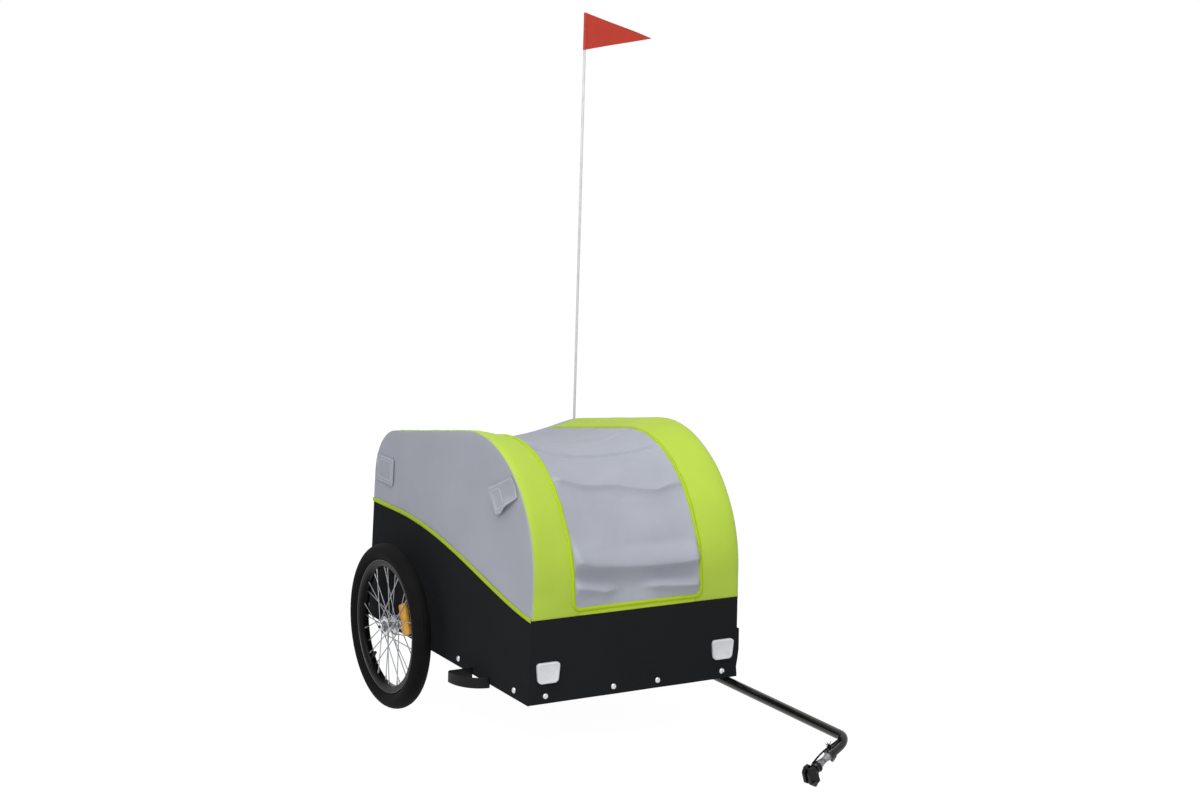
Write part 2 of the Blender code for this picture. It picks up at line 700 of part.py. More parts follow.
def cover_depth(run, share):
    """How far the cover hangs in below its zip, at a run and a share of its half width."""
    along = (run - COVER_START) / (HINGE_RUN - COVER_START)
    ends = math.sin(math.pi * min(1.0, max(0.0, along))) ** 0.5
    depth = COVER_SAG * ends * (1 - share ** 2)
    for way, deep, spread_out, droop in COVER_FOLDS:
        off = (run - way - droop * share ** 2) / spread_out
        depth += deep * math.exp(-off * off) * (1 - share ** 4)
    return depth


def cover(looks, parent):
    """Grey cover that unzips along both sides and its lower edge and swings up at the back."""
    runs = [COVER_START]
    for end, step in COVER_ROWS:
        runs += spread(runs[-1], COVER_START + end, step)[1:]
    runs += spread(runs[-1], HINGE_RUN, COVER_LAST_STEP)[1:]
    columns = 10
    grids = []
    for thickness in (0.0, CLOTH):
        rows = []
        for run in runs:
            half = half_width(run)
            row = []
            for j in range(columns + 1):
                share = math.sin(math.pi / 2 * (2 * j / columns - 1))
                depth = cover_depth(run, share) + roof_sag(run, half * share)
                row.append((half * share, *profile(run, depth + thickness)))
            rows.append(row)
        grids.append(rows)
    shell("cover", grids[0], grids[1], looks["grey_cloth"], parent, smooth=60)


def cover_piping(looks, parent):
    """Zip piping round the cover's two sides and its rounded lower edge."""
    grow = PIPING_RADIUS + GAP
    centre_run = COVER_START + COVER_CORNER
    centre_half = COVER_HALF - COVER_CORNER
    radius = COVER_CORNER + grow
    side_runs = curve_runs(centre_run, HINGE_RUN - 2 * PIPING_RADIUS, 0.035, 0.10)[::-1]
    turns = [math.radians(90 * i / 6) for i in range(1, 7)]
    path = [(run, centre_half + radius) for run in side_runs]
    path += [(centre_run - radius * math.sin(t), centre_half + radius * math.cos(t)) for t in turns]
    path += [(run, -x) for run, x in reversed(path)]
    points = []
    for run, x in path:
        points.append((x, *profile(run, CLOTH / 2 + roof_sag(run, x))))
    bent_tube("cover_piping", points, PIPING_RADIUS, looks["green_piping"], parent, 1)


# Frame

def screw_profile(depth):
    """Domed screw head standing proud of the cloth, with its shank reaching inwards."""
    points = [(-depth, 0.0), (-depth, SCREW_SHANK_RADIUS), (GAP, SCREW_SHANK_RADIUS)]
    for step in range(4):
        turn = math.radians(90 * step / 3)
        points.append((
            GAP + SCREW_HEAD_HEIGHT * math.sin(turn),
            SCREW_HEAD_RADIUS * math.cos(turn),
        ))
    return points


def fuse_screws(rail, spots, parent):
    """Join domed screws, given as (name, matrix), to the rail that they are driven into."""
    for name, matrix in spots:
        mesh = bmesh.new()
        add_turned(mesh, screw_profile(LINING + 0.006), "X", 12)
        bmesh.ops.transform(mesh, matrix=matrix, verts=mesh.verts)
        boolean(rail, cutter(name, mesh, parent), "UNION")


def rails(looks, parent):
    """Rectangular base of square tube, with the screws that hold the skirt to it."""
    outer = side_at(RAIL_TOP) - LINING
    front = -BODY_FRONT + LINING
    back = rear_wall_y(RAIL_TOP, LINING)
    steel = looks["black_steel"]
    for side, word in ((1, "left"), (-1, "right")):
        mesh = bmesh.new()
        ends = sorted((side * (outer - RAIL_WIDTH), side * outer))
        add_box(mesh, (ends[0], front, -BASE_DROP), (ends[1], back, RAIL_TOP))
        rail = finish(f"{word}_rail", mesh, steel, parent)
        spots = []
        for y in SIDE_SCREWS:
            place = Matrix.Translation((side * side_at(SCREW_Z), y, SCREW_Z))
            turn = Matrix.Rotation(0.0 if side > 0 else math.pi, 4, "Z")
            spots.append((f"screw_{word}_{round(-y * 1000)}", place @ turn))
        fuse_screws(rail, spots, parent)
        if side > 0:
            boolean(rail, rod_cutter(
                "cut_rail_pivot", PIVOT_RADIUS + GAP, "Z", -0.02, PIVOT_GRIP + GAP,
                (DRAWBAR_X, DRAWBAR_PIVOT_Y, -BASE_DROP), parent,
            ))
    inner = outer - RAIL_WIDTH - GAP
    mesh = bmesh.new()
    add_box(mesh, (-inner, front, -BASE_DROP), (inner, front + RAIL_WIDTH, RAIL_TOP))
    rail = finish("front_rail", mesh, steel, parent)
    spots = []
    for x in FRONT_SCREWS:
        place = Matrix.Translation((x, -BODY_FRONT, SCREW_Z))
        spots.append((f"screw_front_{round(x * 1000)}", place @ Matrix.Rotation(-math.pi / 2, 4, "Z")))
    fuse_screws(rail, spots, parent)
    mesh = bmesh.new()
    add_box(mesh, (-inner, back - RAIL_WIDTH, -BASE_DROP), (inner, back, RAIL_TOP))
    finish("rear_rail", mesh, steel, parent)


def axle_beam(looks, parent):
    """Square cross tube on the rails, with a socket for an axle in each end."""
    reach = side_at(BEAM_TOP) - LINING
    mesh = bmesh.new()
    low = RAIL_TOP + GAP
    add_box(mesh, (-reach, -BEAM_SIZE / 2, low), (reach, BEAM_SIZE / 2, BEAM_TOP))
    beam = finish("axle_beam", mesh, looks["black_steel"], parent)
    depth = AXLE_GRIP + GAP
    for side, word in ((1, "left"), (-1, "right")):
        middle = side * (reach - depth / 2)
        boolean(beam, rod_cutter(
            f"cut_{word}_socket", AXLE_BORE, "X", -depth / 2 - (0.02 if side < 0 else 0.0),
            depth / 2 + (0.02 if side > 0 else 0.0), (middle, 0, 0), parent, 20,
        ))


def hoops(looks, parent):
    """Two bent tubes that stand on the rails and carry the fabric, and the bar between them."""
    runs = curve_runs(RAIL_HEIGHT - HOOP_RADIUS, FULL_RUN - RAIL_HEIGHT + HOOP_RADIUS)
    feet = bmesh.new()
    add_box(feet, (-BODY_WIDTH, -BODY_FRONT, -2 * BASE_DROP), (BODY_WIDTH, BODY_REAR, RAIL_TOP + GAP))
    floor = cutter("cut_hoop_feet", feet, parent)
    for side, word in ((1, "left"), (-1, "right")):
        points = []
        for run in runs:
            y, z = profile(run, HOOP_INSET)
            points.append((side * (side_at(z) - HOOP_INSET), y, z))
        hoop = bent_tube(f"{word}_hoop", points, HOOP_RADIUS, looks["black_steel"], parent, 2)
        boolean(hoop, floor)
    reach = side_at(profile(HINGE_RUN, HOOP_INSET).y) - HOOP_INSET - HOOP_RADIUS - GAP
    bowed = reach - HOOP_RADIUS
    points = []
    for x in (-reach, *spread(-bowed, bowed, ROOF_BAR_STEP), reach):
        sag = roof_sag(HINGE_RUN, max(-bowed, min(bowed, x)))
        points.append((x, *profile(HINGE_RUN, HOOP_INSET + BAR_CLEARANCE + sag)))
    bent_tube("roof_bar", points, HOOP_RADIUS, looks["black_steel"], parent, 1)


def floor_panel(looks, parent):
    """Floor board on the axle beam, notched round the four feet of the hoops."""
    wide = side_at(FLOOR_TOP) - LINING
    narrow = side_at(FLOOR_TOP) - HOOP_INSET - HOOP_RADIUS - 0.002
    front = -BODY_FRONT + LINING
    back = rear_wall_y(FLOOR_TOP, LINING)
    notch = 2 * HOOP_RADIUS + 0.003
    right = [
        (narrow, front),
        (narrow, front + notch),
        (wide, front + notch),
        (wide, back - notch),
        (narrow, back - notch),
        (narrow, back),
    ]
    outline = right + [(-x, y) for x, y in reversed(right)]
    mesh = bmesh.new()
    add_prism(mesh, [(x, y, BEAM_TOP + GAP) for x, y in outline], (0, 0, FLOOR_THICKNESS))
    finish("floor_panel", mesh, looks["board"], parent)


def guard_path(grow=0.0):
    """Plan of a wheel guard, straight out from the side, then forwards and back in."""
    reach = GUARD_REACH - grow
    length = GUARD_LENGTH - grow
    corner = GUARD_CORNER
    points = [(0.0, -grow)]
    for step in range(4):
        turn = math.radians(90 - 30 * step)
        points.append((
            reach - corner + corner * math.cos(turn),
            -grow - corner + corner * math.sin(turn),
        ))
    for step in range(1, 11):
        turn = math.radians(90 * step / 10)
        points.append((reach * math.cos(turn), -grow - corner - (length - corner) * math.sin(turn)))
    return points


def wheel_guards(looks, parent):
    for side, word in ((1, "left"), (-1, "right")):
        start = side_at(GUARD_TOP - GUARD_HEIGHT) + GAP
        grids = []
        for grow in (0.0, GUARD_THICKNESS):
            rows = []
            for z in (GUARD_TOP - GUARD_HEIGHT, GUARD_TOP):
                rows.append([(side * (start + x), GUARD_BACK + y, z) for x, y in guard_path(grow)])
            grids.append(rows)
        shell(f"{word}_guard", grids[0], grids[1], looks["black_plastic"], parent)


# Wheels

def tyre_profile():
    points = []
    for step in range(10):
        turn = math.radians(-38 + 256 * step / 9)
        points.append((
            TYRE_HALF_WIDTH * math.cos(turn),
            TYRE_CENTRE + TYRE_HALF_HEIGHT * math.sin(turn),
        ))
    bead = RIM_HALF_WIDTH - RIM_WALL - GAP
    low = RIM_FLANGE_RADIUS - 0.006
    over = RIM_FLANGE_RADIUS + 2.5 * GAP
    return [(bead, over)] + points + [(-bead, over), (-bead, low), (bead, low)]


def rim_profile():
    seat = RIM_FLANGE_RADIUS - 0.006 - 3 * GAP
    lip = RIM_HALF_WIDTH - RIM_WALL
    half = [
        (lip, seat),
        (lip, RIM_FLANGE_RADIUS),
        (RIM_HALF_WIDTH, RIM_FLANGE_RADIUS),
        (RIM_HALF_WIDTH, RIM_INNER + 0.006),
        (RIM_HALF_WIDTH * 0.55, RIM_INNER),
    ]
    return half + [(-x, r) for x, r in reversed(half)]


def hub_profile():
    flange = FLANGE_THICKNESS / 2
    half = [
        (HUB_HALF_LENGTH, AXLE_BORE),
        (HUB_HALF_LENGTH, HUB_BARREL_RADIUS * 0.85),
        (FLANGE_SPREAD + flange, HUB_BARREL_RADIUS),
        (FLANGE_SPREAD + flange, FLANGE_RADIUS),
        (FLANGE_SPREAD - flange, FLANGE_RADIUS),
        (FLANGE_SPREAD - flange, HUB_BARREL_RADIUS * 0.9),
    ]
    return half + [(-x, r) for x, r in reversed(half)]


def add_spoke(mesh, start, end):
    """A thin square bar between two points, standing in for a round spoke."""
    along = (end - start).normalized()
    aside = along.cross(Vector((1, 0, 0))).normalized()
    up = along.cross(aside)
    ring = [start + SPOKE_RADIUS * (a * aside + b * up) for a, b in ((1, 1), (-1, 1), (-1, -1), (1, -1))]
    add_prism(mesh, ring, end - start)


def spokes_mesh():
    """Spokes of one wheel, laced to both flanges, each leaving its hole along the flange."""
    mesh = bmesh.new()
    hole = FLANGE_RADIUS - 0.0035
    end_radius = RIM_INNER * math.cos(math.pi / WHEEL_STEPS) - 1.5 * GAP
    pitch = 2 * math.pi / SPOKES_PER_FLANGE
    for side in (1, -1):
        for k in range(SPOKES_PER_FLANGE):
            lead = 1 if k % 2 else -1
            turn = pitch * (k + (0.5 if side < 0 else 0.0))
            reach = turn + lead * pitch * SPOKE_CROSSINGS
            plane = FLANGE_SPREAD + lead * (FLANGE_THICKNESS / 2 - 0.0002)
            start = Vector((side * plane, hole * math.cos(turn), hole * math.sin(turn)))
            end = Vector((side * 0.003, end_radius * math.cos(reach), end_radius * math.sin(reach)))
            add_spoke(mesh, start, end)
    return mesh


def wheel(side, word, looks, parent, upright):
    """One wheel on its own empty, whose X axis is the axle; outwards is +X times the side."""
    spin = empty(f"{word}_wheel_axis", parent, Matrix.Translation((side * WHEEL_X, 0, 0)) @ upright)
    steps = WHEEL_STEPS
    turned(f"{word}_tyre", tyre_profile(), looks["tyre_rubber"], spin, "X", steps, True,
           start=math.pi)
    turned(f"{word}_rim", rim_profile(), looks["black_rim"], spin, "X", steps, True, start=math.pi)
    hub = turned(f"{word}_spoked_hub", hub_profile(), looks["bright_steel"], spin, "X", 20, True)
    boolean(hub, cutter(f"{word}_spokes", spokes_mesh(), spin), "UNION", True)
    outline = rounded_outline(AMBER_DEPTH, AMBER_LENGTH, 0.006, 0.0, 2)
    mesh = bmesh.new()
    add_prism(mesh, [(-0.5, y, z) for y, z in outline], (1, 0, 0))
    for vert in mesh.verts:
        share = 0.5 + vert.co.y / AMBER_DEPTH
        vert.co.x *= AMBER_INNER + (AMBER_OUTER - AMBER_INNER) * share
        vert.co.y += REFLECTOR_RING
    bmesh.ops.rotate(mesh, verts=mesh.verts, matrix=Matrix.Rotation(AMBER_ANGLE, 3, "X"))
    finish(f"{word}_amber", mesh, looks["amber_reflector"], spin)


def axle(side, word, looks, parent):
    """Axle rod in the beam's socket, with its collar, end cap and release button."""
    root = side_at(BEAM_TOP) - LINING - AXLE_GRIP
    wall = side_at(-AXLE_COLLAR_RADIUS) + GAP
    hub_in = WHEEL_X - HUB_HALF_LENGTH - GAP
    hub_out = WHEEL_X + HUB_HALF_LENGTH + GAP
    end = hub_out + AXLE_CAP_LENGTH
    bore = BUTTON_RADIUS + GAP
    floor = end + BUTTON_PROUD - BUTTON_LENGTH - 0.003
    points = [
        (root, 0.0),
        (root, AXLE_RADIUS),
        (wall, AXLE_RADIUS),
        (wall, AXLE_COLLAR_RADIUS),
        (hub_in - 0.004, AXLE_COLLAR_RADIUS),
        (hub_in, AXLE_COLLAR_RADIUS * 0.8),
        (hub_in, AXLE_RADIUS),
        (hub_out, AXLE_RADIUS),
        (hub_out, AXLE_CAP_RADIUS),
        (end - 0.002, AXLE_CAP_RADIUS),
        (end, AXLE_CAP_RADIUS * 0.8),
        (end, bore),
        (floor - GAP, bore),
        (floor - GAP, 0.0),
    ]
    turned(f"{word}_axle", [(side * x, r) for x, r in points], looks["bright_steel"], parent, "X", 20)
    tip = end + BUTTON_PROUD
    points = [
        (tip - BUTTON_LENGTH, 0.0),
        (tip - BUTTON_LENGTH, BUTTON_RADIUS),
        (tip - 0.001, BUTTON_RADIUS),
        (tip, BUTTON_RADIUS * 0.6),
        (tip, 0.0),
    ]
    turned(f"{word}_button", [(side * x, r) for x, r in points], looks["black_plastic"], parent, "X", 16)


# Drawbar and coupler

def leg_frame():
    """Frame at the bend's corner: X along the short leg, Z up across it."""
    up = Vector((0, 0, 1))
    up = (up - up.dot(LEG_DIRECTION) * LEG_DIRECTION).normalized()
    aside = up.cross(LEG_DIRECTION)
    turn = Matrix((LEG_DIRECTION, aside, up)).transposed().to_4x4()
    return Matrix.Translation(BEND_CORNER) @ turn


def drawbar_points():
    """Centre line from the tail past the pivot to the bend and down the short leg."""
    tail = Vector((DRAWBAR_X, DRAWBAR_PIVOT_Y + DRAWBAR_TAIL, DRAWBAR_Z))
    forward = Vector((0, -1, 0))
    half = math.acos(forward.dot(LEG_DIRECTION)) / 2
    back_off = DRAWBAR_BEND_RADIUS * math.tan(half)
    first = BEND_CORNER - forward * back_off
    inwards = (LEG_DIRECTION - forward * forward.dot(LEG_DIRECTION)).normalized()
    centre = first + inwards * DRAWBAR_BEND_RADIUS
    points = [tail]
    for step in range(9):
        turn = 2 * half * step / 8
        points.append(
            centre + DRAWBAR_BEND_RADIUS * (math.sin(turn) * forward - math.cos(turn) * inwards)
        )
    points.append(BEND_CORNER + LEG_DIRECTION * LEG_TUBE_END)
    return points


def drawbar_mount(looks, parent):
    """Steel bracket under the left rail, the pivot bolt and the hand knob that clamps the bar."""
    high = -BASE_DROP - GAP
    low = high - BRACKET_THICKNESS
    outer = DRAWBAR_X + DRAWBAR_RADIUS + GAP + BRACKET_THICKNESS
    front = DRAWBAR_PIVOT_Y - BRACKET_LENGTH / 2
    back = DRAWBAR_PIVOT_Y + BRACKET_LENGTH / 2
    mesh = bmesh.new()
    outline = [
        (outer - BRACKET_WIDTH, front + 0.012),
        (outer - BRACKET_WIDTH + 0.012, front),
        (outer, front),
        (outer, back),
        (outer - BRACKET_WIDTH + 0.012, back),
        (outer - BRACKET_WIDTH, back - 0.012),
    ]
    add_prism(mesh, [(x, y, low) for x, y in outline], (0, 0, BRACKET_THICKNESS))
    bracket = finish("drawbar_bracket", mesh, looks["black_steel"], parent)
    lip = bmesh.new()
    lip_back = DRAWBAR_PIVOT_Y - DRAWBAR_TAIL
    add_box(lip, (outer - BRACKET_THICKNESS, front, high - BRACKET_LIP), (outer, lip_back, high - 0.001))
    boolean(bracket, cutter("join_lip", lip, parent), "UNION")
    pivot = (DRAWBAR_X, DRAWBAR_PIVOT_Y, -BASE_DROP)
    boolean(bracket, rod_cutter(
        "cut_bracket_pivot", PIVOT_RADIUS + GAP, "Z", -0.02, 0.02, pivot, parent,
    ))
    knob_top = DRAWBAR_Z - DRAWBAR_RADIUS - GAP + BASE_DROP
    bolt_low = knob_top - KNOB_HEIGHT * 0.7
    profile_points = ((bolt_low, 0), (bolt_low, PIVOT_RADIUS), (PIVOT_GRIP, PIVOT_RADIUS), (PIVOT_GRIP, 0))
    turned("pivot_bolt", profile_points, looks["bright_steel"], parent, "Z", 16, at=pivot)
    return pivot, knob_top


def clamp_knob(looks, parent, pivot, top):
    """Lobed knob screwed on the pivot bolt from below."""
    axis = empty("clamp_knob_axis", parent, Matrix.Translation(pivot))
    mesh = bmesh.new()
    outline = []
    steps = KNOB_LOBES * 4
    for step in range(steps):
        turn = 2 * math.pi * step / steps
        radius = KNOB_RADIUS * (0.92 + 0.08 * math.cos(KNOB_LOBES * turn))
        outline.append((radius * math.cos(turn), radius * math.sin(turn), top - KNOB_HEIGHT))
    add_prism(mesh, outline, (0, 0, KNOB_HEIGHT))
    knob = finish("clamp_knob", mesh, looks["black_plastic"], axis)
    bevel(knob, 0.0012, 1, 60)
    boolean(knob, rod_cutter(
        "cut_knob", PIVOT_RADIUS + GAP, "Z", top - KNOB_HEIGHT * 0.7 - GAP, top + 0.01,
        (0, 0, 0), axis,
    ))


def drawbar(looks, parent, pivot):
    """Bent tube that turns about the pivot bolt, with a collar on the end of its short leg."""
    swing = empty("drawbar_axis", parent, Matrix.Translation(pivot))
    points = [point - Vector(pivot) for point in drawbar_points()]
    tube = bent_tube("drawbar_tube", points, DRAWBAR_RADIUS, looks["black_steel"], swing, 4)
    boolean(tube, rod_cutter("cut_tube_pivot", PIVOT_RADIUS + GAP, "Z", -0.05, 0.05, (0, 0, 0), swing))
    leg = empty("leg_axis", swing, Matrix.Translation(-Vector(pivot)) @ leg_frame())
    sleeve = rod_cutter(
        "cut_neck_socket", NECK_RADIUS + GAP, "X", LEG_TUBE_END - NECK_INSET - GAP,
        LEG_TUBE_END + 0.01, (0, 0, 0), leg, 20,
    )
    boolean(tube, sleeve)
    start = LEG_TUBE_END - COLLAR_LENGTH + 0.003
    inner = DRAWBAR_RADIUS + GAP
    outer = inner + COLLAR_WALL
    ring = [(start, inner), (start, outer), (start + COLLAR_LENGTH, outer), (start + COLLAR_LENGTH, inner)]
    turned("end_collar", ring, looks["black_plastic"], leg, "X", 24, True)
    return swing, leg


def coupler(looks, leg):
    """Flexing neck, the cup it ends in, and the block that is pinned to the bicycle's hitch."""
    neck_start = LEG_TUBE_END - NECK_INSET
    neck_end = CUP_END - CUP_FLOOR - GAP
    straight = 0.006
    points = [(neck_start, 0.0), (neck_start, NECK_RADIUS), (neck_start + straight, NECK_RADIUS)]
    for step in range(1, 6):
        share = step / 6
        along = neck_start + straight + share * (CUP_START - neck_start - 2 * straight)
        waist = (NECK_RADIUS - NECK_WAIST) * math.sin(math.pi * share)
        points.append((along, NECK_RADIUS - waist))
    points += [(CUP_START - straight, NECK_RADIUS), (neck_end, NECK_RADIUS), (neck_end, 0.0)]
    turned("flex_neck", points, looks["grey_rubber"], leg, "X", 20)

    yaw_at = (LEG_TUBE_END + CUP_START) / 2
    yaw = empty("coupler_yaw_axis", leg, Matrix.Translation((yaw_at, 0, 0)))
    bore = NECK_RADIUS + GAP
    shift = -yaw_at
    rounding = 0.002
    cup_points = [
        (CUP_END, 0.0),
        (CUP_END, bore + CUP_WALL - rounding),
        (CUP_END - rounding, bore + CUP_WALL),
        (CUP_START, bore + CUP_WALL),
        (CUP_START, bore),
        (CUP_END - CUP_FLOOR, bore),
        (CUP_END - CUP_FLOOR, 0.0),
    ]
    cup = turned("neck_cup", cup_points, looks["black_steel"], yaw, "X", 20, at=(shift, 0, 0))
    tongue = bmesh.new()
    round_end = [(PITCH_PIN_AT - 0.008, -TONGUE_HALF_WIDTH), (PITCH_PIN_AT, -TONGUE_HALF_WIDTH)]
    for step in range(1, 8):
        turn = math.radians(-90 + 180 * step / 8)
        round_end.append((
            PITCH_PIN_AT + TONGUE_HALF_WIDTH * math.cos(turn),
            TONGUE_HALF_WIDTH * math.sin(turn),
        ))
    round_end += [(PITCH_PIN_AT, TONGUE_HALF_WIDTH), (PITCH_PIN_AT - 0.008, TONGUE_HALF_WIDTH)]
    flat = [(s + shift, -TONGUE_HALF_THICKNESS, u) for s, u in round_end]
    add_prism(tongue, flat, (0, 2 * TONGUE_HALF_THICKNESS, 0))
    boolean(cup, cutter("join_tongue", tongue, yaw), "UNION")
    pin = bmesh.new()
    reach = BLOCK_HALF_THICKNESS
    add_turned(pin, ((-reach, 0), (-reach, PITCH_PIN_RADIUS), (reach, PITCH_PIN_RADIUS), (reach, 0)), "Y", 16)
    bmesh.ops.translate(pin, verts=pin.verts, vec=(PITCH_PIN_AT + shift, 0, 0))
    boolean(cup, cutter("join_pin", pin, yaw), "UNION")

    pitch = empty("coupler_pitch_axis", yaw, Matrix.Translation((PITCH_PIN_AT + shift, 0, 0)))
    mesh = bmesh.new()
    outline = [(s - PITCH_PIN_AT, -BLOCK_HALF_THICKNESS, u) for s, u in BLOCK_OUTLINE]
    add_prism(mesh, outline, (0, 2 * BLOCK_HALF_THICKNESS, 0))
    block = finish("coupler_block", mesh, looks["black_plastic"], pitch)
    bevel(block, BLOCK_BEVEL, 1, 60)
    boolean(block, rod_cutter(
        "cut_block_pin", PITCH_PIN_RADIUS + GAP, "Y", -0.03, 0.03, (0, 0, 0), pitch,
    ))
    slot = bmesh.new()
    near = TONGUE_HALF_THICKNESS + GAP
    add_box(slot, (-0.02, -near, -0.05), (BLOCK_WEB[0] - PITCH_PIN_AT, near, 0.05))
    boolean(block, cutter("cut_tongue_slot", slot, pitch))
    slot = bmesh.new()
    far = HITCH_SLOT_HALF_WIDTH
    add_box(slot, (BLOCK_WEB[1] - PITCH_PIN_AT, -far, -0.05), (0.05, far, 0.05))
    boolean(block, cutter("cut_hitch_slot", slot, pitch))
    pin_at = (HITCH_PIN_AT[0] - PITCH_PIN_AT, 0, HITCH_PIN_AT[1])
    boolean(block, rod_cutter(
        "cut_hitch_pin", HITCH_PIN_RADIUS + HITCH_PIN_CLEARANCE, "Y", -0.03, 0.03, pin_at, pitch,
    ))
    head = BLOCK_HALF_THICKNESS + GAP
    tip = -BLOCK_HALF_THICKNESS - 0.001
    points = [
        (tip, 0.0),
        (tip, HITCH_PIN_RADIUS * 0.7),
        (tip + 0.002, HITCH_PIN_RADIUS),
        (head, HITCH_PIN_RADIUS),
        (head, HITCH_PIN_HEAD),
        (head + HITCH_PIN_HEAD_LENGTH, HITCH_PIN_HEAD),
        (head + HITCH_PIN_HEAD_LENGTH, 0.0),
    ]
    turned("hitch_pin", points, looks["bright_steel"], pitch, "Y", 16, at=pin_at)
    return block


def smooth_path(knots, step):
    """Points a step apart on a smooth curve through the knots."""
    ends = [2 * knots[0] - knots[1], *knots, 2 * knots[-1] - knots[-2]]
    points = [knots[0]]
    for a, b, c, d in zip(ends, ends[1:], ends[2:], ends[3:]):
        count = max(1, round((c - b).length / step))
        for i in range(1, count + 1):
            t = i / count
            points.append(0.5 * (
                2 * b + (c - a) * t + (2 * a - 5 * b + 4 * c - d) * t ** 2
                + (3 * b - a - 3 * c + d) * t ** 3
            ))
    return points


def safety_cord(looks, leg):
    """Cord tied along the short leg, then hanging free to the coupler, in the leg's frame."""
    on_tube = DRAWBAR_RADIUS + CORD_RADIUS + GAP
    knots = [
        Vector((0.0150, 0.0, on_tube + 0.0002)),
        Vector((0.0250, 0.0, on_tube + 0.0012)),
        Vector((0.0360, 0.0, on_tube + 0.0022)),
        Vector((0.0450, 0.0, on_tube + 0.0034)),
        Vector((0.0600, 0.0, on_tube + 0.0050)),
        Vector((0.0780, 0.0, on_tube + 0.0048)),
        Vector((0.0920, 0.0, on_tube + 0.0032)),
        Vector((0.1020, 0.0, on_tube + 0.0012)),
    ]
    bent_tube("safety_cord", smooth_path(knots, 0.006), CORD_RADIUS, looks["cord_black"], leg, 2)


# Flag, reflectors, pocket and tabs

def flag_holder(looks, parent):
    """Socket at the foot of the pole and the cloth loop above it."""
    low = -BASE_DROP
    inner = side_at(low) + GAP
    outer = POLE_X + SOCKET_SIDE / 2
    mesh = bmesh.new()
    half = SOCKET_SIDE / 2
    add_box(mesh, (inner, POLE_Y - half, low), (outer, POLE_Y + half, low + SOCKET_HEIGHT))
    socket = finish("flag_socket", mesh, looks["black_plastic"], parent)
    bore = POLE_RADIUS + GAP
    boolean(socket, rod_cutter(
        "cut_socket", bore, "Z", SOCKET_FLOOR, SOCKET_HEIGHT + 0.01, (POLE_X, POLE_Y, low), parent,
    ))
    wall = side_at(LOOP_AT + LOOP_HEIGHT / 2)
    lean = SIDE_LEAN * LOOP_HEIGHT / 2
    mesh = bmesh.new()
    outline = [(wall + lean + GAP, POLE_Y + 0.018), (wall + lean + GAP, POLE_Y - 0.018)]
    for step in range(9):
        turn = math.radians(-90 + 180 * step / 8)
        radius = bore + 0.002
        outline.append((POLE_X + radius * math.cos(turn), POLE_Y + radius * math.sin(turn)))
    add_prism(mesh, [(x, y, LOOP_AT) for x, y in outline], (0, 0, LOOP_HEIGHT))
    loop = finish("flag_loop", mesh, looks["black_cloth"], parent)
    boolean(loop, rod_cutter(
        "cut_loop", bore, "Z", LOOP_AT - 0.01, LOOP_AT + LOOP_HEIGHT + 0.01,
        (POLE_X, POLE_Y, 0), parent,
    ))


def flag(looks, chassis):
    """Fibre pole and the pennant whose sleeve closes over its top."""
    foot = -BASE_DROP + SOCKET_FLOOR + GAP
    parent = joint_frame("pole", chassis, Matrix.Translation((POLE_X, POLE_Y, foot)))
    tip = POLE_TOP - FLAG_SLEEVE_WALL - GAP
    points = ((foot, 0), (foot, POLE_RADIUS), (tip, POLE_RADIUS), (tip, 0))
    turned("flag_pole", points, looks["white_fibre"], parent, "Z", 12, at=(POLE_X, POLE_Y, 0))
    rows = []
    columns = 8
    for depth in (FLAG_THICKNESS / 2, -FLAG_THICKNESS / 2):
        grid = []
        for i in range(5):
            row = []
            for j in range(columns + 1):
                out = FLAG_LENGTH * (j / columns) * 0.985
                share = j / columns * 0.985
                top = POLE_TOP - FLAG_TIP_DROP * share
                low = POLE_TOP - FLAG_HEIGHT + (FLAG_HEIGHT - FLAG_TIP_DROP) * share
                z = low + (top - low) * i / 4
                wave = FLAG_WAVE * math.sin(2 * math.pi * share) * share
                row.append((POLE_X + out, POLE_Y + wave + depth, z))
            grid.append(row)
        rows.append(grid)
    made = shell("flag", rows[0], rows[1], looks["flag_cloth"], parent, 60)
    sleeve = bmesh.new()
    radius = POLE_RADIUS + GAP + FLAG_SLEEVE_WALL
    low = POLE_TOP - FLAG_HEIGHT
    add_turned(sleeve, ((low, 0), (low, radius), (POLE_TOP, radius), (POLE_TOP, 0)), "Z", 12)
    bmesh.ops.translate(sleeve, verts=sleeve.verts, vec=(POLE_X, POLE_Y, 0))
    boolean(made, cutter("join_sleeve", sleeve, parent), "UNION")
    boolean(made, rod_cutter(
        "cut_sleeve", POLE_RADIUS + GAP, "Z", low - 0.01, POLE_TOP - FLAG_SLEEVE_WALL,
        (POLE_X, POLE_Y, 0), parent, 12,
    ))


def wall_reflector(name, x, wall_matrix, look, parent):
    """Rounded reflector that stands out along its own Y axis from a wall."""
    outline = rounded_outline(REFLECTOR_WIDTH, REFLECTOR_HEIGHT, REFLECTOR_CORNER, REFLECTOR_TAPER)
    mesh = bmesh.new()
    add_prism(mesh, [(px + x, -GAP, pz) for px, pz in outline], (0, -REFLECTOR_DEPTH, 0))
    bmesh.ops.transform(mesh, matrix=wall_matrix, verts=mesh.verts)
    made = finish(name, mesh, look, parent)
    bevel(made, 0.002, 1, 60)


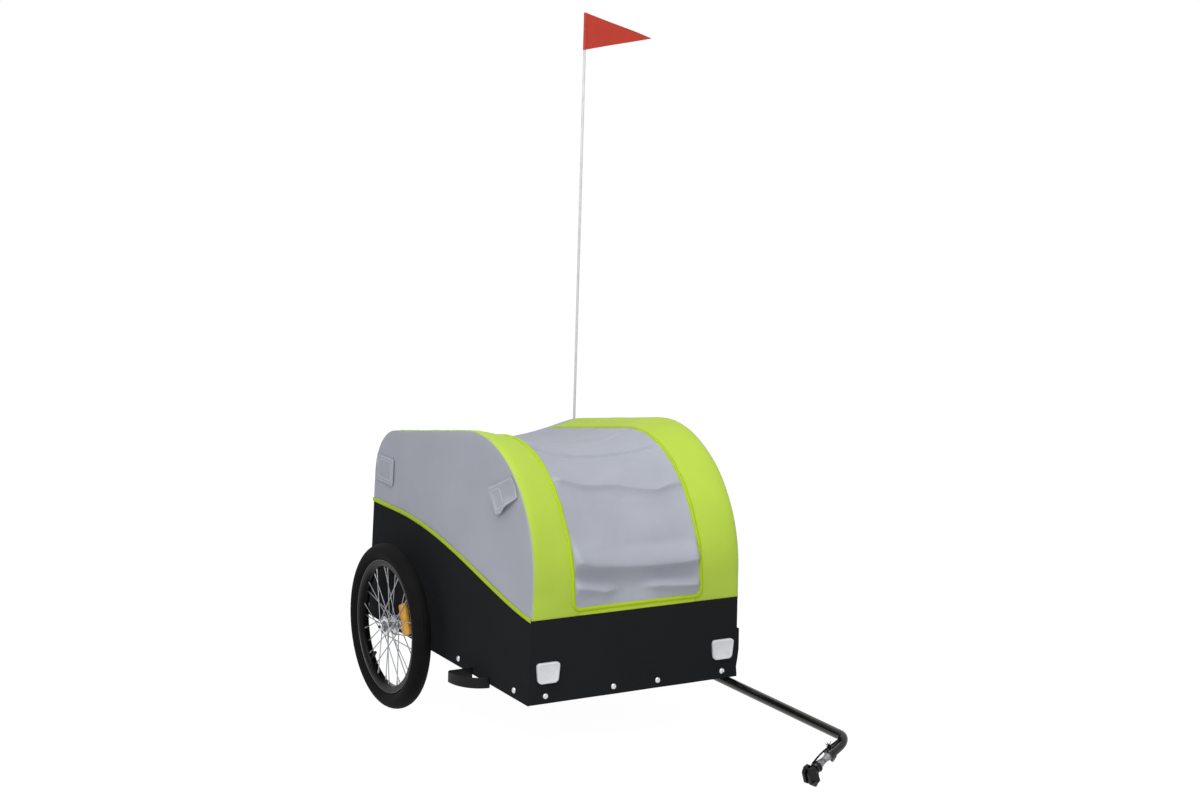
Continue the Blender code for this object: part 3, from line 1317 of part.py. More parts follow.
def reflectors(looks, parent):
    front = Matrix.Translation((0, -BODY_FRONT, FRONT_REFLECTOR_Z))
    turn = Matrix.Rotation(math.pi, 4, "Z") @ Matrix.Rotation(-REAR_LEAN, 4, "X")
    rear = Matrix.Translation((0, rear_wall_y(REAR_REFLECTOR_Z), REAR_REFLECTOR_Z)) @ turn
    for side, word in ((1, "left"), (-1, "right")):
        look = looks["white_reflector"]
        wall_reflector(f"front_{word}_reflector", side * FRONT_REFLECTOR_X, front, look, parent)
        look = looks["red_reflector"]
        wall_reflector(f"rear_{word}_reflector", -side * REAR_REFLECTOR_X, rear, look, parent)


def side_pocket(looks, parent):
    """Flat cloth pocket on the left side, square at its hem and rounded at the bottom."""
    front = -BODY_FRONT + POCKET_FRONT_MARGIN
    back = front + POCKET_LENGTH
    top = POCKET_BOTTOM + POCKET_HEIGHT
    outline = [(back, top), (front, top)]
    for y, start in ((front + POCKET_CORNER, 180), (back - POCKET_CORNER, 270)):
        for step in range(5):
            turn = math.radians(start + 22.5 * step)
            outline.append((
                y + POCKET_CORNER * math.cos(turn),
                POCKET_BOTTOM + POCKET_CORNER + POCKET_CORNER * math.sin(turn),
            ))
    made = side_plate(
        "side_pocket", outline, 1, looks["black_cloth"], parent,
        outer=GAP + POCKET_DEPTH, thickness=POCKET_DEPTH,
    )
    for y in SIDE_SCREWS:
        boolean(made, rod_cutter(
            f"cut_pocket_{round(-y * 1000)}", SCREW_HEAD_RADIUS + 0.001, "X", -0.02, 0.02,
            (side_at(SCREW_Z), y, SCREW_Z), parent, 12,
        ))


def tab(name, side, root, along, length, half, look, parent):
    """A tab sewn along its root, on a joint frame whose Z axis is the line it peels open about."""
    across = Vector((-along.y, along.x))
    outline = [
        root - across * half,
        root + along * length - across * half,
        root + along * length + across * half,
        root + across * half,
    ]
    edge = Vector((-side * SIDE_LEAN * across.y, across.x, across.y)).normalized()
    out = Vector((0, along.x, along.y)).cross(edge).normalized()
    turn = Matrix((out, edge.cross(out), edge)).transposed().to_4x4()
    outer = GAP + TAB_THICKNESS
    place = Vector((side * (side_at(root.y) + outer), root.x, root.y))
    frame = joint_frame(name, parent, Matrix.Translation(place) @ turn)
    side_plate(name, outline, side, look, frame, outer=outer, thickness=TAB_THICKNESS)


def tabs(looks, parent):
    """Hook-and-loop tabs on the sides, sewn to the front band and round the rear edge."""
    reach = FRONT_ARCH_RADIUS - TAB_MARGIN
    rise = math.asin((FRONT_TAB_HEIGHT - ARCH_CENTRE_Z) / reach)
    seam = Vector((ARCH_CENTRE_Y - reach * math.cos(rise), FRONT_TAB_HEIGHT))
    slope = Vector((math.cos(FRONT_TAB_ANGLE), math.sin(FRONT_TAB_ANGLE)))
    front_root = seam + slope * FRONT_TAB_INSET
    half = REAR_TAB_HEIGHT / 2
    rear_edge = rear_edge_y(REAR_TAB_BOTTOM + REAR_TAB_HEIGHT) - TAB_MARGIN
    rear_root = Vector((rear_edge, REAR_TAB_BOTTOM + half))
    look = looks["grey_cloth"]
    for side, word in ((1, "left"), (-1, "right")):
        tab(
            f"{word}_front_tab", side, front_root, slope, FRONT_TAB_LENGTH,
            FRONT_TAB_WIDTH / 2, look, parent,
        )
        tab(
            f"{word}_rear_tab", side, rear_root, Vector((-1, 0)), rear_edge - REAR_TAB_END_Y,
            half, look, parent,
        )


def rear_edge_y(height):
    """How far back the body's rear edge is, at a height on its rounded corner or rear wall."""
    if height <= WALL_TOP.y:
        return rear_wall_y(height, LINING)
    reach = REAR_CORNER_RADIUS - LINING
    return REAR_CENTRE.x + math.sqrt(reach ** 2 - (height - REAR_CENTRE.y) ** 2)


# Assembly

def stance_angle():
    """Nose-down angle at which the coupler block's lowest corner is as low as the wheels."""
    frame = leg_frame()
    angles = []
    for s, u in BLOCK_OUTLINE:
        for v in (-BLOCK_HALF_THICKNESS, BLOCK_HALF_THICKNESS):
            corner = frame @ Vector((s, v, u))
            reach = math.hypot(corner.y, corner.z)
            angles.append(math.asin(WHEEL_RADIUS / reach) - math.atan2(-corner.z, -corner.y))
    return min(angles)


def centre_on_floor(stance):
    """Move the trailer so that its box stands centred over the origin."""
    bpy.context.view_layer.update()
    graph = bpy.context.evaluated_depsgraph_get()
    low = Vector((1e9, 1e9, 1e9))
    high = -low
    for made in bpy.data.objects:
        if made.type != "MESH" or made.hide_render or made.name == "safety_cord":
            continue
        data = made.evaluated_get(graph).to_mesh()
        for vert in data.vertices:
            point = made.matrix_world @ vert.co
            low = Vector(map(min, low, point))
            high = Vector(map(max, high, point))
    stance.location = -Vector(((low.x + high.x) / 2, (low.y + high.y) / 2, low.z))


def build():
    clear_scene()
    looks = trailer_materials()
    angle = stance_angle()
    stance = empty("stance")
    stance.rotation_euler = (angle, 0, 0)
    upright = Matrix.Rotation(-angle, 4, "X")
    rails(looks, stance)
    axle_beam(looks, stance)
    hoops(looks, stance)
    floor_panel(looks, stance)
    wheel_guards(looks, stance)
    front_and_rear_walls(looks, stance)
    front_strip(looks, stance)
    for side, word in ((1, "left"), (-1, "right")):
        side_panels(side, word, looks, stance)
        band(side, word, looks, stance)
        wheel(side, word, looks, stance, upright)
        axle(side, word, looks, stance)
    y, z = profile(HINGE_RUN, CLOTH / 2)
    lift = joint_frame("cover", stance, Matrix.Translation((0, y, z)))
    cover(looks, lift)
    cover_piping(looks, lift)
    pivot, knob_top = drawbar_mount(looks, stance)
    clamp_knob(looks, stance, pivot, knob_top)
    swing, leg = drawbar(looks, stance, pivot)
    coupler(looks, leg)
    safety_cord(looks, leg)
    flag_holder(looks, stance)
    flag(looks, stance)
    reflectors(looks, stance)
    side_pocket(looks, stance)
    tabs(looks, stance)
    centre_on_floor(stance)


build()
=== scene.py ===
"""Looks of the bicycle cargo trailer: cloth, wheels, drawbar, coupler, flag and their finishes."""

import json
import math

import bmesh
import bpy
from mathutils import Matrix, Vector, noise


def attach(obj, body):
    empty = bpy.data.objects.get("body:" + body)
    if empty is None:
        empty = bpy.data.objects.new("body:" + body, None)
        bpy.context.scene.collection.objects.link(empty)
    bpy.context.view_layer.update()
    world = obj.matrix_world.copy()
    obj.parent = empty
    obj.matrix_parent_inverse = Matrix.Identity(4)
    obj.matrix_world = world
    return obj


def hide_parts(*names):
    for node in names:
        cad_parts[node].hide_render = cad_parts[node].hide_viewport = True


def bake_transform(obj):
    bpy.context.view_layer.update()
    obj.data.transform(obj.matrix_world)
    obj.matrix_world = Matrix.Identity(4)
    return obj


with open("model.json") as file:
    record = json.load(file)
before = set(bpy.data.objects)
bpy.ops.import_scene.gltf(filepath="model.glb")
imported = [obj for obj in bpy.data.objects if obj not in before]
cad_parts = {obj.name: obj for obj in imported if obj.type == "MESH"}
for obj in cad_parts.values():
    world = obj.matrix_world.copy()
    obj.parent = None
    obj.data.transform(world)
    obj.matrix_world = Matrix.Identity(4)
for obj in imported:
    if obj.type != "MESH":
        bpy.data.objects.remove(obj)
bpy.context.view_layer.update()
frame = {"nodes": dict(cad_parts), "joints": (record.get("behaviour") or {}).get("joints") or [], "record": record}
joints = {joint["name"]: joint for joint in frame["joints"]}

# Sizes in metres, in the trailer's own level frame: +X to its left, -Y ahead, +Z up,
# with the origin at the middle of the wheel axle
GAP = 0.0003
BODY_WIDTH = 0.550
BODY_FRONT = 0.602
BODY_REAR = 0.249
BASE_DROP = 0.0378
ROOF_HEIGHT = 0.521
FRONT_ARCH_RADIUS = 0.300
REAR_CORNER_RADIUS = 0.125
ROOF_SLOPE = math.radians(9.4)
REAR_LEAN = math.radians(1.6)
SIDE_LEAN = 0.0233
SKIRT_FRONT_TOP = 0.153
SKIRT_REAR_TOP = 0.261
SKIRT_RISE = 0.70
SKIRT_CURVE = 1.4
RIBBON_HEIGHT = 0.0104
RIBBON_START = 0.004
RIBBON_PROUD = 0.0011
RIBBON_EDGE_DROP = 0.0007
SIDE_BULGE = 0.0035
BAND_WIDTH = 0.105
STRIP_HEIGHT = 0.0102
COVER_CORNER = 0.014
PIPING_RADIUS = 0.003
PIPING_SWELL = 1.45
PIPING_SINK = 0.0012
HINGE_BACK = 0.118
HINGE_CLEARANCE = 0.0024
COVER_SAG = 0.004
ROOF_SAG = 0.040
SAG_START = 0.190
SAG_FULL = 0.450
SAG_SHAPE = 1.25
SCREW_HEIGHT = -0.0193
SCREW_HEAD_RADIUS = 0.0070
WASHER_RADIUS = 0.0083
FRONT_SCREWS = (-0.232, -0.058, 0.058, 0.232)
SIDE_SCREWS = (-0.536, -0.261)

# Wheels
TYRE_HALF_WIDTH = 0.0225
TYRE_HALF_HEIGHT = 0.0205
TYRE_CENTRE = 0.1795
TYRE_RIB = 0.0006
TYRE_GROOVE = 0.0007
RIM_FLANGE_RADIUS = 0.1605
RIM_HALF_WIDTH = 0.0128
RIM_WALL = 0.0022
RIM_INNER = 0.1440
HUB_HALF_LENGTH = 0.020
HUB_BARREL_RADIUS = 0.0105
FLANGE_RADIUS = 0.0245
FLANGE_SPREAD = 0.0120
FLANGE_THICKNESS = 0.0028
AXLE_RADIUS = 0.006
SPOKES_PER_FLANGE = 14
SPOKE_CROSSINGS = 3
SPOKE_WIRE = 0.0013
SPOKE_HEAD = 0.0017
SPOKE_BEND = 0.0016
NIPPLE_RADIUS = 0.0020
NIPPLE_LENGTH = 0.011
REFLECTOR_RING = 0.096
AMBER_LENGTH = 0.074
AMBER_DEPTH = 0.032
AMBER_INNER = 0.0100
AMBER_OUTER = 0.0056
AMBER_CORNER = 0.006
AMBER_RIM = 0.0022
AMBER_RIBS = 15
AMBER_ANGLE = math.radians(160)
VALVE_ANGLE = math.radians(134)

# Drawbar, coupler and safety cord
DRAWBAR_RADIUS = 0.011
DRAWBAR_X = BODY_WIDTH / 2 - 0.014
DRAWBAR_PIVOT_Y = -0.480
DRAWBAR_BEND_Y = -BODY_FRONT - 0.443
DRAWBAR_Z = -BASE_DROP - 2 * GAP - 0.003 - DRAWBAR_RADIUS
DRAWBAR_TAIL = 0.018
DRAWBAR_BEND_RADIUS = 0.030
BUTTON_HOLE_RADIUS = 0.0042
BUTTON_HOLE_AT = 0.030
LEG_DIRECTION = Vector((-0.869, -0.094, -0.487)).normalized()
LEG_TUBE_END = 0.057
COLLAR_LENGTH = 0.011
COLLAR_WALL = 0.0026
NECK_RADIUS = 0.0092
NECK_WAIST = 0.0072
NECK_INSET = 0.004
CUP_START = 0.092
CUP_END = 0.1045
CUP_WALL = 0.0028
CORD_RADIUS = 0.002
STRAND_RADIUS = 0.0014
TWINE_RADIUS = 0.0011

# Flag, reflectors, pocket, guards and tabs
POLE_RADIUS = 0.0033
POLE_X = BODY_WIDTH / 2 + 0.007
POLE_Y = BODY_REAR - 0.049
POLE_TOP = 1.481
LOOP_AT = 0.190
LOOP_HEIGHT = 0.045
FLAG_HEIGHT = 0.093
FLAG_LENGTH = 0.200
FLAG_TIP_DROP = 0.058
FLAG_WAVE = 0.006
FLAG_SLACK = 0.0009
LOOP_SLACK = 0.0012
FRONT_REFLECTOR_X = BODY_WIDTH / 2 - 0.046
FRONT_REFLECTOR_Z = 0.0340
REAR_REFLECTOR_X = BODY_WIDTH / 2 - 0.070
REAR_REFLECTOR_Z = 0.060
GUARD_REACH = 0.064
GUARD_BACK = -0.333
GUARD_LENGTH = 0.087
GUARD_TOP = -0.021
GUARD_HEIGHT = 0.025
GUARD_THICKNESS = 0.003
GUARD_CORNER = 0.010
POCKET_FRONT_MARGIN = 0.006
POCKET_LENGTH = 0.150
POCKET_HEIGHT = 0.098
POCKET_DEPTH = 0.0105
POCKET_BOTTOM = -0.024
POCKET_CORNER = 0.022
FRONT_TAB_HEIGHT = ROOF_HEIGHT - 0.091
FRONT_TAB_LENGTH = 0.120
FRONT_TAB_WIDTH = 0.068
FRONT_TAB_ANGLE = math.radians(-24)
REAR_TAB_BOTTOM = 0.313
REAR_TAB_HEIGHT = 0.068
REAR_TAB_END_Y = 0.128
TAB_CORNER = 0.006
TAB_STEP = 0.0005

# Cloth: thickness, places inside the frame's outer faces, how far it dips into a seam and
# over what distance, its hem and its stitches
CLOTH = 0.0013
CLOTH_INSET = 0.0008
BAND_INSET = 0.0004
BAND_EDGE = 0.0006
HOOP_LINE = 0.0148
SEAM_DIP = 0.0016
SEAM_SOFTNESS = 0.0022
HEM = 0.012
HEM_STEP = 0.0006
STITCH_LENGTH = 0.0040
STITCH_PITCH = 0.0048
STITCH_RADIUS = 0.0008
TAB_SEAM_MARGIN = 0.0036
TAB_BOX_MARGIN = 0.0115

# The trailer stands nose down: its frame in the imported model
SIDES = ((1, "left"), (-1, "right"))
wheel_middles = {word: Vector(joints[f"{word}_wheel_spin"]["pos_m"]) for _, word in SIDES}
axle_middle = (wheel_middles["left"] + wheel_middles["right"]) / 2
pole_axis = Vector(joints["flag_pole_lift"]["axis"])
STANCE = Matrix.Translation(axle_middle) @ Matrix.Rotation(math.asin(-pole_axis.y), 4, "X")
MIRROR = Matrix.Scale(-1, 4, (1, 0, 0))
BODY_MIDDLE = Vector((0.0, -0.18, 0.20))


# Camera, floor and light

CAMERA_LENS = 62.662
CAMERA_PLACE = Vector((-2.3969, -4.5307, 1.0812))
CAMERA_DOWN = 6.1443
CAMERA_TURN = -30.3748
# The floor's paint, which takes the shadow, and the share and strength of its white glow
FLOOR_PAINT = 0.80
FLOOR_WHITE = 0.84
FLOOR_GLOW = 1.16
LAMP_TARGET = Vector((0.0, -0.1, 0.4))
# Round lamps: name, place, size and power
LAMPS = (
    ("top_light", (-0.7, -1.0, 3.0), 2.2, 41.0),
    ("front_light", (-2.2, -2.6, 2.2), 1.6, 25.0),
    ("left_light", (-4.0, -0.2, 2.4), 2.0, 14.0),
)


def add_object(name, data):
    made = bpy.data.objects.new(name, data)
    bpy.context.scene.collection.objects.link(made)
    return made


def feed(tree, node, inputs):
    """Give a node's inputs their values or other nodes' outputs."""
    for key, value in inputs.items():
        if isinstance(value, bpy.types.NodeSocket):
            tree.links.new(value, node.inputs[key])
        else:
            node.inputs[key].default_value = value


def add_node(tree, kind, inputs, output=0, **settings):
    """Add a node and return one of its outputs."""
    made = tree.nodes.new("ShaderNode" + kind)
    for key, value in settings.items():
        setattr(made, key, value)
    feed(tree, made, inputs)
    return made.outputs[output]


def empty_tree(owner):
    owner.use_nodes = True
    owner.node_tree.nodes.clear()
    return owner.node_tree


def grey(level):
    return (level, level, level, 1.0)


def shown_rays(tree):
    """One where a ray shows the background: seen by the camera, mirrored or through glass."""
    rays = tree.nodes.new("ShaderNodeLightPath").outputs
    shown = rays["Is Camera Ray"]
    for kind in ("Is Glossy Ray", "Is Transmission Ray"):
        shown = add_node(tree, "Math", {0: shown, 1: rays[kind]}, operation="MAXIMUM")
    return shown


def make_camera():
    """Camera at the photograph's place, looking back along the trailer's right front corner."""
    data = bpy.data.cameras.new("camera")
    data.lens = CAMERA_LENS
    data.sensor_width = 36.0
    data.sensor_fit = "HORIZONTAL"
    data.clip_end = 60.0
    made = add_object("camera", data)
    made.location = axle_middle + CAMERA_PLACE
    made.rotation_euler = (math.radians(90 - CAMERA_DOWN), 0.0, math.radians(CAMERA_TURN))
    bpy.context.scene.camera = made


def make_light():
    """Soft light from above, weaker ones from the picture's left, and a plain world."""
    for name, spot, size, power in LAMPS:
        data = bpy.data.lights.new(name, "AREA")
        data.shape = "DISK"
        data.size = size
        data.energy = power
        made = add_object(name, data)
        made.location = spot
        made.rotation_euler = (LAMP_TARGET - Vector(spot)).to_track_quat("-Z", "Y").to_euler()
    world = bpy.data.worlds.new("studio")
    bpy.context.scene.world = world
    tree = empty_tree(world)
    lit = add_node(tree, "Background", {"Color": (0.93, 0.95, 1.0, 1.0), "Strength": 0.36})
    seen = add_node(tree, "Background", {"Color": grey(1.0)})
    mix = add_node(tree, "MixShader", {0: shown_rays(tree), 1: lit, 2: seen})
    feed(tree, tree.nodes.new("ShaderNodeOutputWorld"), {0: mix})


def make_floor():
    """White floor that keeps a soft shadow of the trailer."""
    bpy.ops.mesh.primitive_plane_add(size=36.0, location=(0.0, 6.0, 0.0))
    floor = bpy.context.object
    floor.name = "floor"
    look = bpy.data.materials.new("floor_white")
    tree = empty_tree(look)
    paint = add_node(tree, "BsdfDiffuse", {"Color": grey(FLOOR_PAINT)})
    white = add_node(tree, "Emission", {"Color": grey(1.0), "Strength": FLOOR_GLOW})
    share = add_node(tree, "Math", {0: shown_rays(tree), 1: FLOOR_WHITE}, operation="MULTIPLY")
    mix = add_node(tree, "MixShader", {0: share, 1: paint, 2: white})
    feed(tree, tree.nodes.new("ShaderNodeOutputMaterial"), {"Surface": mix})
    floor.data.materials.append(look)


# Materials

def linear(red, green, blue):
    """Colour given in screen values from 0 to 255, as the shader takes it."""
    values = []
    for value in (red, green, blue):
        share = value / 255
        values.append(share / 12.92 if share <= 0.04045 else ((share + 0.055) / 1.055) ** 2.4)
    return (*values, 1.0)


def tint(colour, factor):
    return (*(min(1.0, value * factor) for value in colour[:3]), 1.0)


class Look:
    """A Principled material with short calls for the nodes of its pattern."""

    def __init__(self, name, roughness, metallic=0.0, specular=0.5, coords="Object"):
        self.material = bpy.data.materials.new(name)
        self.material.use_nodes = True
        self.tree = self.material.node_tree
        self.coords = self.tree.nodes.new("ShaderNodeTexCoord").outputs[coords]
        self.set({"Roughness": roughness, "Metallic": metallic, "Specular IOR Level": specular})

    def set(self, inputs):
        feed(self.tree, self.tree.nodes["Principled BSDF"], inputs)

    def noise(self, scale, detail=2.0, rough=0.5):
        inputs = {"Scale": scale, "Detail": detail, "Roughness": rough, "Vector": self.coords}
        return add_node(self.tree, "TexNoise", inputs, "Fac")

    def wave(self, spacing, direction, wobble=0.0):
        """Bands a spacing apart in metres."""
        inputs = {"Scale": math.pi / 10 / spacing, "Distortion": wobble, "Detail": 1.0,
                  "Vector": self.coords}
        return add_node(self.tree, "TexWave", inputs, "Fac", bands_direction=direction)

    def product(self, first, second):
        return add_node(self.tree, "Math", {0: first, 1: second}, operation="MULTIPLY")

    def between(self, share, low, high):
        """A number that runs from low to high as the share runs from 0 to 1."""
        return add_node(self.tree, "MapRange", {"Value": share, "To Min": low, "To Max": high})

    def ramp(self, share, low, first, high, second):
        """Colour that runs from the first at a low share to the second at a high one."""
        made = self.tree.nodes.new("ShaderNodeValToRGB")
        feed(self.tree, made, {"Fac": share})
        for element, at, colour in zip(made.color_ramp.elements, (low, high), (first, second)):
            element.position = at
            element.color = colour
        return made.outputs["Color"]

    def shaded(self, colour, shade):
        """A colour multiplied by another."""
        return add_node(self.tree, "Mix", {0: 1.0, 6: colour, 7: shade}, 2,
                        data_type="RGBA", blend_type="MULTIPLY")

    def bump(self, *layers):
        """Stack bumps, each given as (height output, depth in metres)."""
        inputs = {"Strength": 1.0}
        for height, depth in layers:
            inputs.update({"Height": height, "Distance": depth})
            inputs["Normal"] = add_node(self.tree, "Bump", inputs)
        self.set({"Normal": inputs["Normal"]})


def woven(name, colour, thread=0.0009, roughness=0.85, sheen=0.10, specular=0.28, depth=0.00010):
    """Plain-weave polyester: crossing threads, slubs and slow shifts of tone."""
    look = Look(name, roughness, 0.0, specular, "UV")
    weave = look.product(look.wave(thread, "X", 0.6), look.wave(thread, "Y", 0.6))
    slubs = look.noise(420.0)
    base = look.ramp(look.noise(7.0, 3.0), 0.3, tint(colour, 0.955), 0.7, tint(colour, 1.035))
    threads = look.ramp(weave, 0.0, grey(0.90), 0.6, grey(1.0))
    speckle = look.ramp(slubs, 0.35, grey(0.97), 0.65, grey(1.0))
    look.set({
        "Sheen Weight": sheen,
        "Sheen Roughness": 0.45,
        "Base Color": look.shaded(look.shaded(base, threads), speckle),
        "Roughness": look.between(slubs, roughness - 0.06, min(1.0, roughness + 0.06)),
    })
    look.bump((weave, depth), (slubs, depth * 0.8))
    return look.material


def finish(name, colour, roughness, metallic=0.0, specular=0.5, broad=(35.0,), fine=(1100.0,),
           tones=(0.3, 0.92, 0.7, 1.08), gloss=("fine", 0.07, 0.07), grain=0.00004):
    """A smooth finish, unless told otherwise that of moulded plastic. Its broad noise shifts
    the tone, given as two shares with their tints, its fine noise is a grain of a depth, and
    gloss names the noise that roughness follows and how far it goes down and up."""
    look = Look(name, roughness, metallic, specular)
    noises = {"broad": look.noise(*broad), "fine": look.noise(*fine)}
    low, dark, high, light = tones
    look.set({"Base Color": look.ramp(
        noises["broad"], low, tint(colour, dark), high, tint(colour, light)
    )})
    if gloss:
        kind, down, up = gloss
        look.set({"Roughness": look.between(noises[kind], roughness - down, roughness + up)})
    look.bump((noises["fine"], grain))
    return look.material


# Dusty rubber, powder coat with orange peel and rubbed spots, plate with scratches and dull
# patches, and translucent plastic with stains
RUBBER = {"specular": 0.06, "broad": (28.0, 4.0, 0.6), "fine": (1500.0,), "grain": 0.00005,
          "tones": (0.35, 0.85, 0.72, 1.35), "gloss": ("broad", 0.08, 0.10)}
PAINTED = {"specular": 0.42, "broad": (26.0, 3.0), "fine": (240.0, 1.5), "grain": 0.00002,
           "tones": (0.40, 1.0, 0.80, 1.25), "gloss": ("broad", 0.03, 0.06)}
PLATED = {"metallic": 1.0, "broad": (90.0, 4.0, 0.6), "fine": (900.0,), "grain": 0.00002,
          "tones": (0.3, 0.86, 0.7, 1.05), "gloss": ("broad", 0.08, 0.14)}
MOTTLED = {"specular": 0.3, "broad": (70.0, 3.0, 0.6), "fine": (500.0,), "grain": 0.00006,
           "tones": (0.38, 0.30, 0.60, 1.10), "gloss": None}
LENS_CELL = 0.0016


def lens(name, colour, dark, gloss=0.5):
    """Moulded reflector: rows of small prisms under a glossy face."""
    look = Look(name, 0.16, 0.0, gloss)
    prisms = look.product(look.wave(LENS_CELL, "X"), look.wave(LENS_CELL, "Z"))
    body = look.ramp(prisms, 0.05, dark, 0.75, colour)
    shade = look.ramp(look.noise(40.0), 0.3, grey(0.90), 0.7, grey(1.0))
    look.set({"Base Color": look.shaded(body, shade)})
    look.bump((prisms, 0.00020))
    return look.material


def braided(name, colour):
    """Braided cord: crossing strands and a fine fuzz."""
    look = Look(name, 0.75, 0.0, 0.10)
    strands = look.wave(0.0012, "DIAGONAL", 0.4)
    look.set({"Base Color": look.ramp(strands, 0.2, tint(colour, 0.6), 0.8, tint(colour, 1.5))})
    look.bump((strands, 0.00015), (look.noise(2200.0), 0.00005))
    return look.material


WEBBING = {"thread": 0.0011, "roughness": 0.65, "depth": 0.00018}
LOOKS = {
    "black_cloth": woven("black_woven", linear(40, 41, 43), sheen=0.0, specular=0.03),
    "grey_cloth": woven("grey_woven", linear(189, 192, 202)),
    "green_cloth": woven("green_woven", linear(200, 229, 79), roughness=0.75),
    "green_piping": woven("lime_webbing", linear(192, 222, 8), **WEBBING),
    "flag_cloth": woven("red_nylon", linear(206, 66, 48), thread=0.0006, roughness=0.62),
    "board": finish("black_board", linear(30, 30, 31), 0.62, grain=0.00008),
    "black_steel": finish("black_powder_coat", linear(20, 20, 21), 0.17, **PAINTED),
    "black_rim": finish("black_rim_paint", linear(13, 13, 14), 0.30, specular=0.10, grain=0.00003),
    "bright_steel": finish("bright_zinc", linear(214, 216, 220), 0.24, **PLATED),
    "tyre_rubber": finish("tyre_black", linear(22, 22, 22), 0.72, **RUBBER),
    "grey_rubber": finish("neck_grey", linear(182, 182, 184), 0.5, **MOTTLED),
    "black_plastic": finish("moulded_black", linear(28, 28, 29), 0.45, specular=0.15),
    "cord_black": braided("black_braid", linear(22, 22, 23)),
    "white_fibre": finish("white_glass_fibre", linear(228, 229, 230), 0.40, grain=0.000004),
    "white_reflector": lens("clear_prisms", linear(254, 254, 255), linear(243, 244, 246), 0.9),
    "red_reflector": lens("red_prisms", linear(196, 22, 18), linear(92, 6, 6)),
    "amber_reflector": lens("amber_prisms", linear(255, 205, 66), linear(238, 160, 24), 0.20),
}
THREAD_PALE = finish("pale_thread", linear(240, 242, 247), 0.8)
SPOKE_STEEL = finish("spoke_steel", linear(168, 170, 173), 0.34, **PLATED)
# Grey plate for the thin rings along the rims' lips, which are a painted highlight where the black lip catches the
# light; the hub's bearing seals take it as their own grey
RIM_HIGHLIGHT_AND_SEAL_GREY = finish("rim_edge", linear(112, 113, 115), 0.40, **PLATED)
STRIP_LIME = woven("lime_strip", linear(214, 242, 60), **WEBBING)
PIN_STEEL = finish("blackened_pin", linear(24, 24, 25), 0.17, **PAINTED)


def dress(piece, slot_name, look=None):
    """Give a piece one material: the look given, else the one for a slot of the record."""
    piece.data.materials.clear()
    piece.data.materials.append(look or LOOKS[slot_name])


def dress_frame():
    """The CAD nodes keep their shapes and take the finer finishes."""
    names = {material["slot"] for material in frame["record"]["materials"]}
    for node in frame["nodes"].values():
        for slot in node.material_slots:
            base = slot.material.name.split(".")[0] if slot.material else ""
            if base in names:
                slot.material = PIN_STEEL if node.name == "hitch_pin" else LOOKS[base]


# Modelling helpers

def settle():
    """Leave edit mode with nothing selected."""
    active = bpy.context.object
    if active and active.mode != "OBJECT":
        bpy.ops.object.mode_set(mode="OBJECT")
    bpy.ops.object.select_all(action="DESELECT")


def activate(piece):
    """Leave edit mode with this piece selected and active."""
    settle()
    piece.select_set(True)
    bpy.context.view_layer.objects.active = piece


def edit(piece, kind="FACE"):
    """Open a piece in edit mode with nothing selected."""
    activate(piece)
    bpy.ops.object.mode_set(mode="EDIT")
    bpy.ops.mesh.select_mode(type=kind)
    bpy.ops.mesh.select_all(action="DESELECT")


def pick(piece, test):
    """Select the faces that pass a test, in edit mode."""
    mesh = bmesh.from_edit_mesh(piece.data)
    for face in mesh.faces:
        face.select_set(test(face))
    mesh.select_flush_mode()
    bmesh.update_edit_mesh(piece.data)


def select_all():
    bpy.ops.mesh.select_all(action="SELECT")


def pull(vector):
    """Extrude what is selected, in edit mode."""
    bpy.ops.mesh.extrude_region_move(TRANSFORM_OT_translate={"value": vector})


def merge():
    """Make one vertex of those that lie together, in edit mode."""
    select_all()
    bpy.ops.mesh.remove_doubles(threshold=1e-6)


def face_outwards():
    """Turn every face outwards, in edit mode."""
    select_all()
    bpy.ops.mesh.normals_make_consistent(inside=False)


def modify(piece, kind, **settings):
    """Add a modifier with these settings and apply it."""
    activate(piece)
    made = piece.modifiers.new(kind.lower(), kind)
    for key, value in settings.items():
        setattr(made, key, value)
    bpy.ops.object.modifier_apply(modifier=made.name)


def bevel(piece, width, segments, angle):
    """Round the edges that are sharper than an angle in degrees."""
    modify(piece, "BEVEL", width=width, segments=segments, limit_method="ANGLE",
           angle_limit=math.radians(angle))


def carve(piece, operation, tool):
    """Cut a piece with a tool, which is used up."""
    modify(piece, "BOOLEAN", operation=operation, object=tool, solver="EXACT")
    bpy.data.objects.remove(tool)


def smooth(piece, angle):
    activate(piece)
    bpy.ops.object.shade_smooth_by_angle(angle=math.radians(angle))


def twin(piece, matrix):
    """A copy with its own mesh, moved by a matrix."""
    made = add_object(piece.name, piece.data.copy())
    made.data.transform(matrix)
    if matrix.determinant() < 0:
        made.data.flip_normals()
    return made


def join(name, pieces):
    activate(pieces[0])
    for piece in pieces:
        piece.select_set(True)
    bpy.ops.object.join()
    made = bpy.context.object
    made.name = name
    return made


def from_bmesh(name, mesh):
    """The object that a finished bmesh becomes."""
    data = bpy.data.meshes.new(name)
    mesh.to_mesh(data)
    mesh.free()
    return add_object(name, data)


def disc(name, sides, radius, matrix):
    """A filled circle, left in edit mode with all of it selected."""
    settle()
    bpy.ops.mesh.primitive_circle_add(vertices=sides, radius=radius, fill_type="NGON")
    piece = bpy.context.object
    piece.name = name
    piece.data.transform(matrix)
    edit(piece)
    select_all()
    return piece


def traced(name, points):
    """A wire drawn point by point, left in edit mode with all of it selected."""
    settle()
    bpy.ops.mesh.primitive_circle_add(vertices=3, radius=0.001)
    piece = bpy.context.object
    piece.name = name
    edit(piece, "VERT")
    select_all()
    bpy.ops.mesh.merge(type="CENTER")
    points = [Vector(point) for point in points]
    bpy.ops.transform.translate(value=points[0])
    for before, after in zip(points, points[1:]):
        pull(after - before)
    merge()
    return piece


